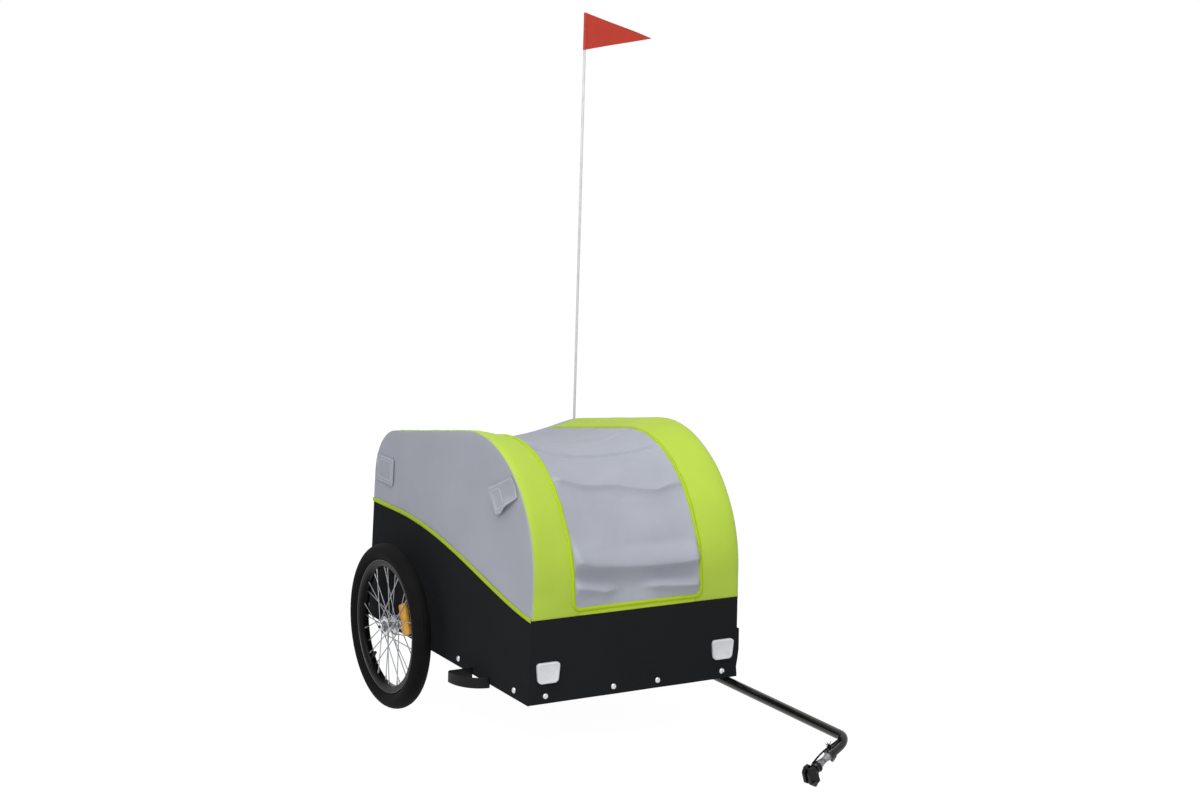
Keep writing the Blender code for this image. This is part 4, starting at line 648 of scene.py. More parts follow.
def plate(name, outline, depth):
    """A flat outline of points, filled and extruded by a depth vector."""
    piece = traced(name, outline)
    bpy.ops.mesh.edge_face_add()
    pull(depth)
    face_outwards()
    settle()
    return piece


def lathe(name, outline, steps, angle=35):
    """An outline of (along, radius) points spun round the X axis."""
    piece = traced(name, [(along, 0.0, radius) for along, radius in outline])
    bpy.ops.mesh.spin(steps=steps, angle=math.tau, center=(0, 0, 0), axis=(1, 0, 0))
    merge()
    face_outwards()
    smooth(piece, angle)
    return piece


def arc(centre, radius, start, end, steps):
    """Points on an arc in a plane, from a start to an end angle in degrees."""
    points = []
    for i in range(steps + 1):
        turn = math.radians(start + (end - start) * i / steps)
        points.append((centre[0] + radius * math.cos(turn), centre[1] + radius * math.sin(turn)))
    return points


def tube(name, points, radius, sides):
    """A round bar along points, closed at both ends."""
    mesh = bmesh.new()
    layer = mesh.loops.layers.uv.new("along")
    rings = []
    aside = None
    for i, point in enumerate(points):
        ahead = (points[min(i + 1, len(points) - 1)] - points[max(i - 1, 0)]).normalized()
        aside = ahead.orthogonal() if aside is None else aside - aside.dot(ahead) * ahead
        aside.normalize()
        other = ahead.cross(aside)
        ring = []
        for j in range(sides):
            turn = math.tau * j / sides
            out = math.cos(turn) * aside + math.sin(turn) * other
            ring.append(mesh.verts.new(point + radius * out))
        rings.append(ring)
    run = 0.0
    for i in range(len(rings) - 1):
        ahead = run + (points[i + 1] - points[i]).length
        for j in range(sides):
            k = (j + 1) % sides
            face = mesh.faces.new((rings[i][j], rings[i][k], rings[i + 1][k], rings[i + 1][j]))
            corners = ((j, run), (j + 1, run), (j + 1, ahead), (j, ahead))
            for loop, (count, way) in zip(face.loops, corners):
                loop[layer].uv = (count * math.tau * radius / sides, way)
        run = ahead
    mesh.faces.new(rings[0][::-1])
    mesh.faces.new(rings[-1])
    bmesh.ops.recalc_face_normals(mesh, faces=mesh.faces)
    made = from_bmesh(name, mesh)
    smooth(made, 50)
    return made


def place(piece, matrix, slot_name, body, *nodes, look=None):
    """Move a finished piece to its place and let it ride on its body for the nodes it replaces."""
    piece.data.transform(matrix)
    if matrix.determinant() < 0:
        piece.data.flip_normals()
    dress(piece, slot_name, look)
    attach(piece, body)
    if nodes:
        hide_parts(*nodes)
    return piece


# The body's side profile, as runs from its front bottom edge up, over the roof and down behind

ARCH_CENTRE_Y = FRONT_ARCH_RADIUS - BODY_FRONT
ARCH_CENTRE_Z = ROOF_HEIGHT - FRONT_ARCH_RADIUS
ARCH_CENTRE = Vector((ARCH_CENTRE_Y, ARCH_CENTRE_Z))
ROOF_NORMAL = Vector((math.sin(ROOF_SLOPE), math.cos(ROOF_SLOPE)))
WALL_NORMAL = Vector((math.cos(REAR_LEAN), math.sin(REAR_LEAN)))
WALL_FOOT = Vector((BODY_REAR, -BASE_DROP))


def rear_corner_centre():
    """Centre of the rear corner's arc, which touches the roof line and the rear wall."""
    wall, roof = WALL_NORMAL, ROOF_NORMAL
    on_wall = WALL_FOOT.dot(wall) - REAR_CORNER_RADIUS
    on_roof = ARCH_CENTRE.dot(roof) + FRONT_ARCH_RADIUS - REAR_CORNER_RADIUS
    centre = Vector((on_wall * roof.y - on_roof * wall.y, wall.x * on_roof - roof.x * on_wall))
    return centre / (wall.x * roof.y - wall.y * roof.x)


REAR_CENTRE = rear_corner_centre()
ROOF_FRONT = ARCH_CENTRE + FRONT_ARCH_RADIUS * ROOF_NORMAL
ROOF_BACK = REAR_CENTRE + REAR_CORNER_RADIUS * ROOF_NORMAL
WALL_TOP = REAR_CENTRE + REAR_CORNER_RADIUS * WALL_NORMAL
FRONT_WALL_RUN = ARCH_CENTRE_Z + BASE_DROP
ARCH_END = FRONT_WALL_RUN + FRONT_ARCH_RADIUS * (math.pi / 2 + ROOF_SLOPE)
ROOF_END = ARCH_END + (ROOF_BACK - ROOF_FRONT).length
CORNER_END = ROOF_END + REAR_CORNER_RADIUS * (math.pi / 2 - ROOF_SLOPE - REAR_LEAN)
FULL_RUN = CORNER_END + (WALL_TOP - WALL_FOOT).length
HINGE_RUN = ARCH_END + (HINGE_BACK - ROOF_FRONT.x) / math.cos(ROOF_SLOPE)
SKIRT_RUN = SKIRT_FRONT_TOP + BASE_DROP
REAR_SEAM_RUN = FULL_RUN - (SKIRT_REAR_TOP + BASE_DROP) / math.cos(REAR_LEAN)
COVER_START = SKIRT_RUN + STRIP_HEIGHT + 2 * PIPING_RADIUS + 2 * GAP
COVER_HALF = BODY_WIDTH / 2 - BAND_WIDTH - 2 * PIPING_RADIUS - 2 * GAP


def profile(run, inset=0.0):
    """Point (y, z) of the side profile at a run, moved inwards by an inset."""
    if run <= FRONT_WALL_RUN:
        return Vector((-BODY_FRONT + inset, run - BASE_DROP))
    if run <= ARCH_END:
        turn = math.pi - (run - FRONT_WALL_RUN) / FRONT_ARCH_RADIUS
        out = Vector((math.cos(turn), math.sin(turn)))
        return ARCH_CENTRE + (FRONT_ARCH_RADIUS - inset) * out
    if run <= ROOF_END:
        along = Vector((math.cos(ROOF_SLOPE), -math.sin(ROOF_SLOPE)))
        return ROOF_FRONT + along * (run - ARCH_END) - ROOF_NORMAL * inset
    if run <= CORNER_END:
        turn = math.pi / 2 - ROOF_SLOPE - (run - ROOF_END) / REAR_CORNER_RADIUS
        out = Vector((math.cos(turn), math.sin(turn)))
        return REAR_CENTRE + (REAR_CORNER_RADIUS - inset) * out
    down = Vector((math.sin(REAR_LEAN), -math.cos(REAR_LEAN)))
    return WALL_TOP + down * (run - CORNER_END) - WALL_NORMAL * inset


def side_at(height):
    """Distance of the side wall's outer face from the middle, at a height above the axle."""
    return BODY_WIDTH / 2 - SIDE_LEAN * (height + BASE_DROP)


def skirt_top(y):
    """Height of the S-shaped seam between the black skirt and the grey side."""
    rise = min(1.0, max(0.0, (y + BODY_FRONT) / SKIRT_RISE))
    share = math.sin(math.pi / 2 * rise) ** SKIRT_CURVE
    return SKIRT_FRONT_TOP + (SKIRT_REAR_TOP - SKIRT_FRONT_TOP) * share


def rear_wall_y(height):
    return BODY_REAR - math.tan(REAR_LEAN) * (height + BASE_DROP)


def half_width(run, grow=0.0):
    """Half width of the cover at a run, grown outwards; its lower corners are rounded."""
    below = COVER_START + COVER_CORNER - run
    centre_half = COVER_HALF - COVER_CORNER
    radius = COVER_CORNER + grow
    if below <= 0:
        return centre_half + radius
    return centre_half + math.sqrt(max(0.0, radius ** 2 - below ** 2))


def hoop_line(run):
    """Distance from the middle to the line along which the cloth leaves the hoop."""
    return side_at(profile(run).y) - HOOP_LINE


def roof_sag(run, x):
    """How far the cloth hangs inside the profile between the hoops, at a run and a place across."""
    rise = (run - SAG_START) / (SAG_FULL - SAG_START)
    fall = (CORNER_END - run) / (CORNER_END - ROOF_END)
    share = min(1.0, max(0.0, min(rise, fall)))
    across = min(1.0, abs(x) / hoop_line(run))
    return ROOF_SAG * share * share * (3 - 2 * share) * (1 - across ** 2) ** SAG_SHAPE


# Cloth panels

EDGE_STEPS = (0.0, 0.0010, 0.0024, 0.0045, 0.0085)
COVER_COLUMNS = 36


def ease(low, high, step):
    """Places from low to high a step apart, closer together at both seams."""
    room = high - low
    edge = [d for d in EDGE_STEPS if d < room * 0.45]
    first = low + edge[-1]
    last = high - edge[-1]
    count = max(1, round((last - first) / step))
    middle = [first + (last - first) * i / count for i in range(1, count)]
    return [low + d for d in edge] + middle + [high - d for d in reversed(edge)]


def dip(*distances):
    """How far the cloth sinks into the seams at these distances from it."""
    return SEAM_DIP * math.exp(-min(distances) / SEAM_SOFTNESS)


def ripple(x, y, z, size, depth):
    """Gentle unevenness of stretched cloth."""
    return depth * noise.noise(Vector((x, y, z)) / size)


def over_body(side, x, run, deep):
    """Point of cloth inside the profile, at a place across, a run and a depth; its flat place."""
    y, z = profile(run, deep)
    return Vector((side * x, y, z)), Vector((x, run))


def on_side(side, y, z, deep):
    """Point of cloth inside a side wall's outer face, at a depth; its flat place."""
    return Vector((side * (side_at(z) - deep), y, z)), Vector((y, z))


def panel(name, rows, slot_name, body, nodes, thickness=CLOTH,
          outward=None, smooth_angle=60, look=None):
    """A sheet of cloth from rows of (point, flat place); its thickness grows inwards."""
    mesh = bmesh.new()
    layer = mesh.loops.layers.uv.new("cut")
    verts = [[mesh.verts.new(point) for point, _ in row] for row in rows]
    for i in range(len(rows) - 1):
        for j in range(len(rows[i]) - 1):
            corners = ((i, j), (i, j + 1), (i + 1, j + 1), (i + 1, j))
            face = mesh.faces.new([verts[a][b] for a, b in corners])
            for loop, (a, b) in zip(face.loops, corners):
                loop[layer].uv = rows[a][b][1]
    bmesh.ops.remove_doubles(mesh, verts=mesh.verts, dist=1e-6)
    places = []
    for face in mesh.faces:
        flats = [loop[layer].uv for loop in face.loops]
        places += flats
    mesh.normal_update()
    out = 0.0
    for face in mesh.faces:
        away = outward or face.calc_center_median() - BODY_MIDDLE
        out += face.normal.dot(away) * face.calc_area()
    if out < 0:
        bmesh.ops.reverse_faces(mesh, faces=mesh.faces)
    piece = from_bmesh(name, mesh)
    piece.data.transform(STANCE)
    modify(piece, "SOLIDIFY", thickness=thickness, offset=-1.0, use_even_offset=True)
    smooth(piece, smooth_angle)
    place(piece, Matrix.Identity(4), slot_name, body, *nodes, look=look)


def front_and_rear_cloth():
    """Black skirts and the grey rear panel, which runs over the rear corner to the hinge."""
    spans = (
        ("front_skirt_cloth", "front_skirt", "black_cloth", 0.0, SKIRT_RUN, 0.012),
        ("rear_skirt_cloth", "rear_skirt", "black_cloth", REAR_SEAM_RUN, FULL_RUN, 0.015),
        ("rear_panel_cloth", "rear_panel", "grey_cloth", HINGE_RUN + HINGE_CLEARANCE,
         REAR_SEAM_RUN, 0.010),
    )
    for name, node, slot_name, start, end, step in spans:
        rows = []
        for run in ease(start, end, step):
            half = side_at(profile(run).y) - CLOTH_INSET
            row = []
            for x in ease(-half, half, 0.016):
                deep = dip(run - start, end - run, half - abs(x))
                hem = start < run < HEM if node == "front_skirt" else end - HEM < run < end
                if hem and node != "rear_panel":
                    deep = -HEM_STEP
                deep += CLOTH_INSET + ripple(x, run, 0.0, 0.09, 0.0007)
                if node == "rear_panel":
                    deep += roof_sag(run, x)
                row.append(over_body(1, x, run, deep))
            rows.append(row)
        panel(name, rows, slot_name, "chassis", [node])


def side_cloth(side, word):
    """Black skirt and grey panel of one side, which meet in the S-shaped seam."""
    front = -BODY_FRONT + CLOTH_INSET
    rows = []
    for share in ease(0.0, 1.0, 0.07):
        row = []
        for along in ease(0.0, 1.0, 0.018):
            y_guess = front + (BODY_REAR - front) * along
            z = -BASE_DROP + (skirt_top(y_guess) + BASE_DROP) * share
            y = front + (rear_wall_y(z) - front) * along
            z = -BASE_DROP + (skirt_top(y) + BASE_DROP) * share
            deep = dip(skirt_top(y) - z, y - front, rear_wall_y(z) - y)
            if 0 < z + BASE_DROP < HEM:
                deep = -HEM_STEP
            deep += CLOTH_INSET + ripple(y, z, side, 0.10, 0.0008)
            row.append(on_side(side, y, z, deep))
        rows.append(row)
    panel(f"{word}_skirt_cloth", rows, "black_cloth", "chassis", [f"{word}_skirt"])
    rows = []
    for run in ease(SKIRT_RUN, REAR_SEAM_RUN, 0.014):
        way = (run - SKIRT_RUN) / (REAR_SEAM_RUN - SKIRT_RUN)
        top = profile(run, CLOTH_INSET)
        y_low = front + (rear_wall_y(SKIRT_REAR_TOP) - front) * way
        low = Vector((y_low, skirt_top(y_low)))
        reach = (top - low).length
        row = []
        for share in ease(0.0, 1.0, 0.05):
            y, z = low + (top - low) * share
            deep = dip(reach * share, reach * (1 - share))
            deep += SIDE_BULGE * math.sin(math.pi * share) * math.sin(math.pi * way) + 0.0006
            deep += ripple(y, z, side + 3, 0.13, 0.0012)
            row.append(on_side(side, y, z, deep))
        rows.append(row)
    panel(f"{word}_side_cloth", rows, "grey_cloth", "chassis", [f"{word}_side"])


def ribbon(side, word):
    """Woven ribbon over the S-shaped seam, a little puckered by its stitches."""
    half = RIBBON_HEIGHT / 2
    start = -BODY_FRONT + RIBBON_START
    end = rear_wall_y(SKIRT_REAR_TOP)
    rows = []
    count = 170
    way = 0.0
    for i in range(count + 1):
        y = start + (end - start) * i / count
        slope = (skirt_top(y + 0.002) - skirt_top(y - 0.002)) / 0.004
        if i:
            way += (end - start) / count * math.hypot(1.0, slope)
        across = Vector((-slope, 1.0)).normalized()
        row = []
        for share in (-1.0, -0.9, -0.6, 0.0, 0.6, 0.9, 1.0):
            spot = Vector((y, skirt_top(y))) + across * half * share
            proud = RIBBON_PROUD - RIBBON_EDGE_DROP * abs(share) ** 6
            proud += ripple(y, share, side, 0.012, 0.00025)
            flat = Vector((way, half * share))
            row.append((Vector((side * (side_at(spot.y) + proud), spot.x, spot.y)), flat))
        rows.append(row)
    panel(f"{word}_seam_ribbon", rows, "green_piping", "chassis", [f"{word}_ribbon"],
          thickness=0.0009)


def band(side, word):
    """Green band over one hoop, from the black skirt up and over to the cover's hinge."""
    grow = 2 * (PIPING_RADIUS + GAP)
    centre = COVER_START + COVER_CORNER
    radius = COVER_CORNER + grow
    runs = ease(SKIRT_RUN, centre - radius, 0.006)[:-1]
    runs += [centre - radius * up for _, up in arc((0, 0), 1.0, 90, 0, 18)]
    last = runs[-1]
    count = round((HINGE_RUN - last) / 0.010)
    runs += [last + (HINGE_RUN - last) * i / count for i in range(1, count + 1)]
    rows = []
    for run in runs:
        inner = half_width(run, grow)
        outer = side_at(profile(run).y) - BAND_EDGE
        row = []
        for share in ease(0.0, 1.0, 0.09):
            x = inner + (outer - inner) * share
            deep = dip(outer - x, run - SKIRT_RUN) + 0.5 * dip(x - inner)
            deep += BAND_INSET + roof_sag(run, x) + ripple(x, run, side, 0.08, 0.0010)
            deep += ripple(x * 0.3, run, side + 5, 0.030, 0.0004) * (1 - abs(2 * share - 1))
            row.append(over_body(side, x, run, deep))
        rows.append(row)
    panel(f"{word}_band_cloth", rows, "green_cloth", "chassis", [f"{word}_band"])


def front_strip():
    """Green strip under the cover's lower edge."""
    end = COVER_START - 2 * (PIPING_RADIUS + GAP)
    half = COVER_HALF - COVER_CORNER
    rows = []
    for run in ease(SKIRT_RUN, end, 0.003):
        row = []
        for x in ease(-half, half, 0.012):
            deep = dip(run - SKIRT_RUN) + 0.5 * dip(end - run) + BAND_INSET
            row.append(over_body(1, x, run, deep + ripple(x, run, 1.0, 0.05, 0.0008)))
        rows.append(row)
    panel("front_strip_cloth", rows, "green_cloth", "chassis", ["front_strip"],
          look=STRIP_LIME)


FOLD_FADE = 0.24
# Soft folds of the cover: depth inwards, half width, and the fold's line as pairs of share
# across and way up from the body's bottom edge; a fold fades out past its line's two ends
COVER_FOLDS = (
    (0.0190, 0.0480, ((-1.0, 0.290), (-0.3, 0.276), (0.5, 0.274), (1.0, 0.276))),
    (0.0030, 0.0160, ((0.1, 0.338), (0.6, 0.335), (1.0, 0.330))),
    (0.0024, 0.0070, ((-0.2, 0.700), (0.4, 0.715), (0.95, 0.752))),
    (0.0024, 0.0080, ((-0.5, 0.745), (0.1, 0.760), (0.7, 0.800))),
)

CREASE_ROUND = 0.003
# Sharp creases: height outwards, how far each fades below and above its edge, and its line
COVER_CREASES = (
    (0.0310, 0.0125, 0.0360, ((-1.0, 0.312), (-0.71, 0.299), (-0.34, 0.292), (0.12, 0.287),
                              (0.46, 0.2865), (0.82, 0.288), (1.0, 0.292))),
    (0.0170, 0.0090, 0.0150, ((-1.0, 0.253), (-0.80, 0.249), (-0.55, 0.240))),
    (0.0170, 0.0080, 0.0140, ((0.38, 0.239), (0.7, 0.2345), (1.0, 0.233))),
    (0.0120, 0.0100, 0.0100, ((-0.85, 0.517), (-0.5, 0.505), (0.0, 0.502), (0.34, 0.484),
                              (0.6, 0.474), (0.78, 0.480))),
    (-0.0075, 0.0100, 0.0055, ((-0.82, 0.655), (-0.5, 0.637), (0.0, 0.631), (0.28, 0.628),
                               (0.87, 0.618))),
    (-0.0028, 0.0080, 0.0050, ((-0.6, 0.604), (0.0, 0.597), (0.5, 0.585))),
)


def along_line(line, share):
    """Way up of a fold's line at a share across, and how strong the fold still is there."""
    first, last = line[0], line[-1]
    if share <= first[0] or share >= last[0]:
        end = first if share <= first[0] else last
        return end[1], math.exp(-((share - end[0]) / FOLD_FADE) ** 2)
    for i in range(len(line) - 1):
        (low, start), (high, stop) = line[i], line[i + 1]
        if share <= high:
            before, after = line[max(i - 1, 0)], line[min(i + 2, len(line) - 1)]
            turn = (share - low) / (high - low)
            lead = (stop - before[1]) / (high - before[0]) * (high - low)
            trail = (after[1] - start) / (after[0] - low) * (high - low)
            rest = stop - start
            bend = 3 * rest - 2 * lead - trail + turn * (lead + trail - 2 * rest)
            return start + turn * (lead + turn * bend), 1.0


def cover_depth(run, share):
    """How far the cover lies inside the profile, at a run and a share of its half width."""
    along = (run - COVER_START) / (HINGE_RUN - COVER_START)
    ends = math.sin(math.pi * min(1.0, max(0.0, along))) ** 0.5
    depth = COVER_SAG * ends * (1 - share ** 2)
    rim = 1 - share ** 8
    for deep, spread_out, line in COVER_FOLDS:
        way, strength = along_line(line, share)
        off = (run - way) / spread_out
        depth += deep * strength * math.exp(-off * off) * rim
    edge = 1 - share ** 24
    for high, below, above, line in COVER_CREASES:
        way, strength = along_line(line, share)
        off = run - way
        if off < 0:
            rounded = CREASE_ROUND * (1 - math.exp(off / CREASE_ROUND))
            fade = math.exp((off + rounded) / below)
        else:
            fade = math.exp(-(off / above) ** 2)
        depth -= high * strength * fade * edge
    drift = ripple(share * 0.9, run * 6.0, 2.0, 0.35, 0.0018)
    fine = ripple(share * 0.22, run, 7.0, 0.022, 0.0008)
    return depth + (drift + fine) * rim


def cover_cloth():
    """Grey cover between the bands, zipped at its sides and front, sewn at the back."""
    rows = []
    for run in ease(COVER_START, HINGE_RUN, 0.0028):
        half = half_width(run)
        row = []
        for j in range(2 * COVER_COLUMNS + 1):
            share = math.sin(math.pi / 2 * (j / COVER_COLUMNS - 1))
            deep = cover_depth(run, share) + GAP + roof_sag(run, half * share)
            row.append(over_body(1, half * share, run, deep))
        rows.append(row)
    panel("cover_cloth", rows, "grey_cloth", "cover", ["cover"])


def cover_outline(grow):
    """Way (run, x) round the cover's left side, lower edge and right side."""
    centre_run = COVER_START + COVER_CORNER
    centre_half = COVER_HALF - COVER_CORNER
    radius = COVER_CORNER + grow
    top = HINGE_RUN - 2 * PIPING_RADIUS
    down = 75
    left = [(top + (centre_run - top) * i / down, centre_half + radius) for i in range(down)]
    left += arc((centre_run, centre_half), radius, 90, 180, 12)
    cross = 24
    low = [(centre_run - radius, centre_half * (1 - 2 * i / cross)) for i in range(1, cross)]
    return left + low + [(run, -x) for run, x in reversed(left)]


def cover_piping():
    """Bright piping of the zip round the cover, slightly uneven where it is sewn in."""
    points = []
    for run, x in cover_outline(PIPING_RADIUS + GAP):
        deep = PIPING_SINK + roof_sag(run, x) + ripple(x, run, 4.0, 0.030, 0.0012)
        aside = x + ripple(x, run, 9.0, 0.034, 0.0016)
        points.append(over_body(1, aside, run, deep)[0])
    piece = tube("cover_zip_piping", points, PIPING_RADIUS * PIPING_SWELL, 14)
    place(piece, STANCE, "green_piping", "cover", "cover_piping")


# Stitches

def stitching(name, lines, slot_name, body, look=None):
    """Rows of short raised threads, each a small pointed bar, along lines of points."""
    mesh = bmesh.new()
    for points in lines:
        points = [Vector(point) for point in points]
        steps = [(b - a).length for a, b in zip(points, points[1:])]
        count = int(sum(steps) / STITCH_PITCH)
        index = 0
        passed = 0.0
        for i in range(count):
            middle = (i + 0.5) * STITCH_PITCH
            while index < len(steps) - 1 and passed + steps[index] < middle:
                passed += steps[index]
                index += 1
            along = (points[index + 1] - points[index]).normalized()
            spot = points[index] + along * (middle - passed)
            aside = along.orthogonal().normalized()
            other = along.cross(aside)
            ends = [mesh.verts.new(spot + along * (STITCH_LENGTH / 2 * way)) for way in (-1, 1)]
            ring = [mesh.verts.new(spot + STITCH_RADIUS * off)
                    for off in (aside, other, -aside, -other)]
            for turn in range(4):
                a, b = ring[turn], ring[(turn + 1) % 4]
                mesh.faces.new((ends[0], b, a))
                mesh.faces.new((ends[1], a, b))
    place(from_bmesh(name, mesh), STANCE, slot_name, body, look=look)


# Frame fittings

def rounded_outline(width, height, corner, taper=0.0):
    """Outline (x, z) of a rounded plate, narrower at the bottom by the taper on each side."""
    half = Vector((width / 2 - corner, height / 2 - corner))
    points = []
    for cx, cz, start in ((1, 1, 0), (-1, 1, 90), (-1, -1, 180), (1, -1, 270)):
        points += arc((cx * half.x, cz * half.y), corner, start, start + 90, 6)
    return [(x - math.copysign(taper, x) * (0.5 - z / height), z) for x, z in points]


def screws():
    """Bright domed screws with dark washers, over the heads that the rails carry."""
    head = [(0.0, 0.0), (0.0, SCREW_HEAD_RADIUS), (0.0004, SCREW_HEAD_RADIUS), (0.0010, 0.0068)]
    head += [(0.0010 + 0.0034 * y, 0.0065 * x) for x, y in arc((0, 0), 1.0, 12, 84, 6)]
    washer = [(-0.0006, 0.0), (-0.0006, WASHER_RADIUS), (0.0003, 0.0081), (0.0005, 0.0)]
    turn = Matrix.Rotation(-math.pi / 2, 4, "Z")
    spots = [Matrix.Translation((x, -BODY_FRONT, SCREW_HEIGHT)) @ turn for x in FRONT_SCREWS]
    for side, _ in SIDES:
        turn = Matrix.Rotation(0.0 if side > 0 else math.pi, 4, "Z")
        x = side * side_at(SCREW_HEIGHT)
        spots += [Matrix.Translation((x, y, SCREW_HEIGHT)) @ turn for y in SIDE_SCREWS]
    for name, outline, slot_name in (
        ("skirt_screws", head + [(0.0044, 0.0)], "bright_steel"),
        ("skirt_washers", washer, "black_plastic"),
    ):
        pattern = lathe("screw", outline, 24)
        piece = join(name, [twin(pattern, spot) for spot in spots])
        place(piece, STANCE, slot_name, "chassis")
        bpy.data.objects.remove(pattern)


REFLECTOR_SIZE = (0.058, 0.0465)
REFLECTOR_CORNER = 0.009
REFLECTOR_TAPER = 0.004
REFLECTOR_DEPTH = 0.007
REFLECTOR_RIM = 0.0042
REFLECTOR_EDGE = 0.0011
REFLECTOR_SLOPE = 0.0005
LENS_SINK = 0.0016
PRISM_WIDTH = 0.0034


def prism_slab(name, width, height, cell):
    """A slab in the XZ plane whose front is a row of upright prisms, about a cell wide each."""
    count = round(width / cell)
    pitch = width / count
    outline = [(-width / 2, 0.0)]
    for i in range(count):
        left = -width / 2 + i * pitch
        outline += [(left + pitch / 2, -cell * 0.22), (left + pitch, 0.0)]
    return plate(name, [(x, y, -height / 2) for x, y in outline], (0, 0, height))


def reflector(name, matrix, slot_name):
    """Rounded reflector: a smooth housing with a raised rim round a ribbed lens."""
    width, height = REFLECTOR_SIZE
    outline = rounded_outline(width, height, REFLECTOR_CORNER, REFLECTOR_TAPER)
    body = plate(name + "_housing", [(x, -GAP, z) for x, z in outline], (0, -REFLECTOR_DEPTH, 0))
    edit(body)
    pick(body, lambda face: face.normal.y < -0.9)
    bpy.ops.mesh.inset(thickness=REFLECTOR_EDGE)
    pull((0, -0.0007, 0))
    bpy.ops.mesh.inset(thickness=REFLECTOR_RIM - REFLECTOR_EDGE - REFLECTOR_SLOPE)
    bpy.ops.mesh.inset(thickness=REFLECTOR_SLOPE)
    pull((0, LENS_SINK, 0))
    bevel(body, 0.0005, 2, 40)
    smooth(body, 30)
    place(body, STANCE @ matrix, slot_name, "chassis", name)
    inner = rounded_outline(width - 2 * REFLECTOR_RIM, height - 2 * REFLECTOR_RIM,
                            REFLECTOR_CORNER - REFLECTOR_RIM * 0.7, REFLECTOR_TAPER * 0.85)
    front = -REFLECTOR_DEPTH + 0.0012
    shape = plate(name + "_cut", [(x, front, z) for x, z in inner], (0, -0.004, 0))
    glass = prism_slab(name + "_lens", width, height, PRISM_WIDTH)
    glass.data.transform(Matrix.Translation((0, front, 0)))
    carve(glass, "INTERSECT", shape)
    place(glass, STANCE @ matrix, slot_name, "chassis")


def reflectors():
    front = Matrix.Translation((0, -BODY_FRONT - 0.0004, FRONT_REFLECTOR_Z))
    turn = Matrix.Rotation(math.pi, 4, "Z") @ Matrix.Rotation(-REAR_LEAN, 4, "X")
    rear = Matrix.Translation((0, rear_wall_y(REAR_REFLECTOR_Z) + 0.0004, REAR_REFLECTOR_Z)) @ turn
    for side, word in SIDES:
        off = Matrix.Translation((side * FRONT_REFLECTOR_X, 0, 0))
        reflector(f"front_{word}_reflector", front @ off, "white_reflector")
        off = Matrix.Translation((-side * REAR_REFLECTOR_X, 0, 0))
        reflector(f"rear_{word}_reflector", rear @ off, "red_reflector")


def wheel_guard(side, word):
    """Bent strip that keeps the cargo's cloth off the wheel, with a rounded upper edge."""
    low = GUARD_TOP - GUARD_HEIGHT
    start = side_at(low) - 0.0004
    plan = [(0.0, 0.0)] + arc((GUARD_REACH - GUARD_CORNER, -GUARD_CORNER), GUARD_CORNER, 90, 0, 8)
    for x, y in arc((0, 0), 1.0, 0, 90, 24)[1:]:
        plan.append((GUARD_REACH * x, -GUARD_CORNER - (GUARD_LENGTH - GUARD_CORNER) * y))
    piece = traced(f"{word}_guard_strip", [(start + x, GUARD_BACK + y, low) for x, y in plan])
    for share in (0.12, 0.76, 0.12):
        pull((0, 0, GUARD_HEIGHT * share))
    modify(piece, "SOLIDIFY", thickness=GUARD_THICKNESS, offset=0.0, use_even_offset=True)
    edit(piece)
    pick(piece, lambda face: abs(face.normal.z) > 0.9)
    pull((0, 0, 0))
    modify(piece, "WELD", merge_threshold=1e-6)
    bevel(piece, 0.0011, 3, 60)
    smooth(piece, 35)
    matrix = STANCE if side > 0 else STANCE @ MIRROR
    place(piece, matrix, "black_plastic", "chassis", f"{word}_guard")


# Wheels

def mirrored(half):
    """A closed outline from its right half."""
    return half + [(-x, radius) for x, radius in reversed(half)] + [half[0]]


def tyre_outline():
    """Section of a slick tyre: beads in the rim, plain sidewalls with a rib, shallow grooves."""
    bead = RIM_HALF_WIDTH - RIM_WALL - GAP
    low = RIM_FLANGE_RADIUS - 0.0055
    shoulder = RIM_FLANGE_RADIUS + 0.0008
    points = [(-bead, low), (bead, low), (bead, shoulder)]
    count = 44
    for i in range(count + 1):
        turn = -40 + 260 * i / count
        off = abs(turn - 90)
        grow = 0.0
        if abs(off - 88) < 3.5:
            grow = TYRE_RIB
        if abs(off - 24) < 3.2 or off < 3.2:
            grow = -TYRE_GROOVE
        turn = math.radians(turn)
        points.append(((TYRE_HALF_WIDTH + grow) * math.cos(turn),
                       TYRE_CENTRE + (TYRE_HALF_HEIGHT + grow) * math.sin(turn)))
    return points + [(-bead, shoulder), points[0]]


def rim_outline():
    """Section of a double-walled rim with rolled lips."""
    seat = RIM_FLANGE_RADIUS - 0.0065
    lip = RIM_HALF_WIDTH - RIM_WALL
    half = [(lip, seat), (lip, RIM_FLANGE_RADIUS - 0.0012)]
    half += arc((RIM_HALF_WIDTH - 0.0008, RIM_FLANGE_RADIUS - 0.0002), 0.0011, 150, -40, 6)
    half += [
        (RIM_HALF_WIDTH, RIM_FLANGE_RADIUS - 0.0022),
        (RIM_HALF_WIDTH, RIM_INNER + 0.0075),
        (RIM_HALF_WIDTH - 0.0006, RIM_INNER + 0.0055),
        (RIM_HALF_WIDTH * 0.70, RIM_INNER + 0.0012),
        (RIM_HALF_WIDTH * 0.45, RIM_INNER),
        (0.0035, RIM_INNER - 0.0004),
    ]
    return mirrored(half)


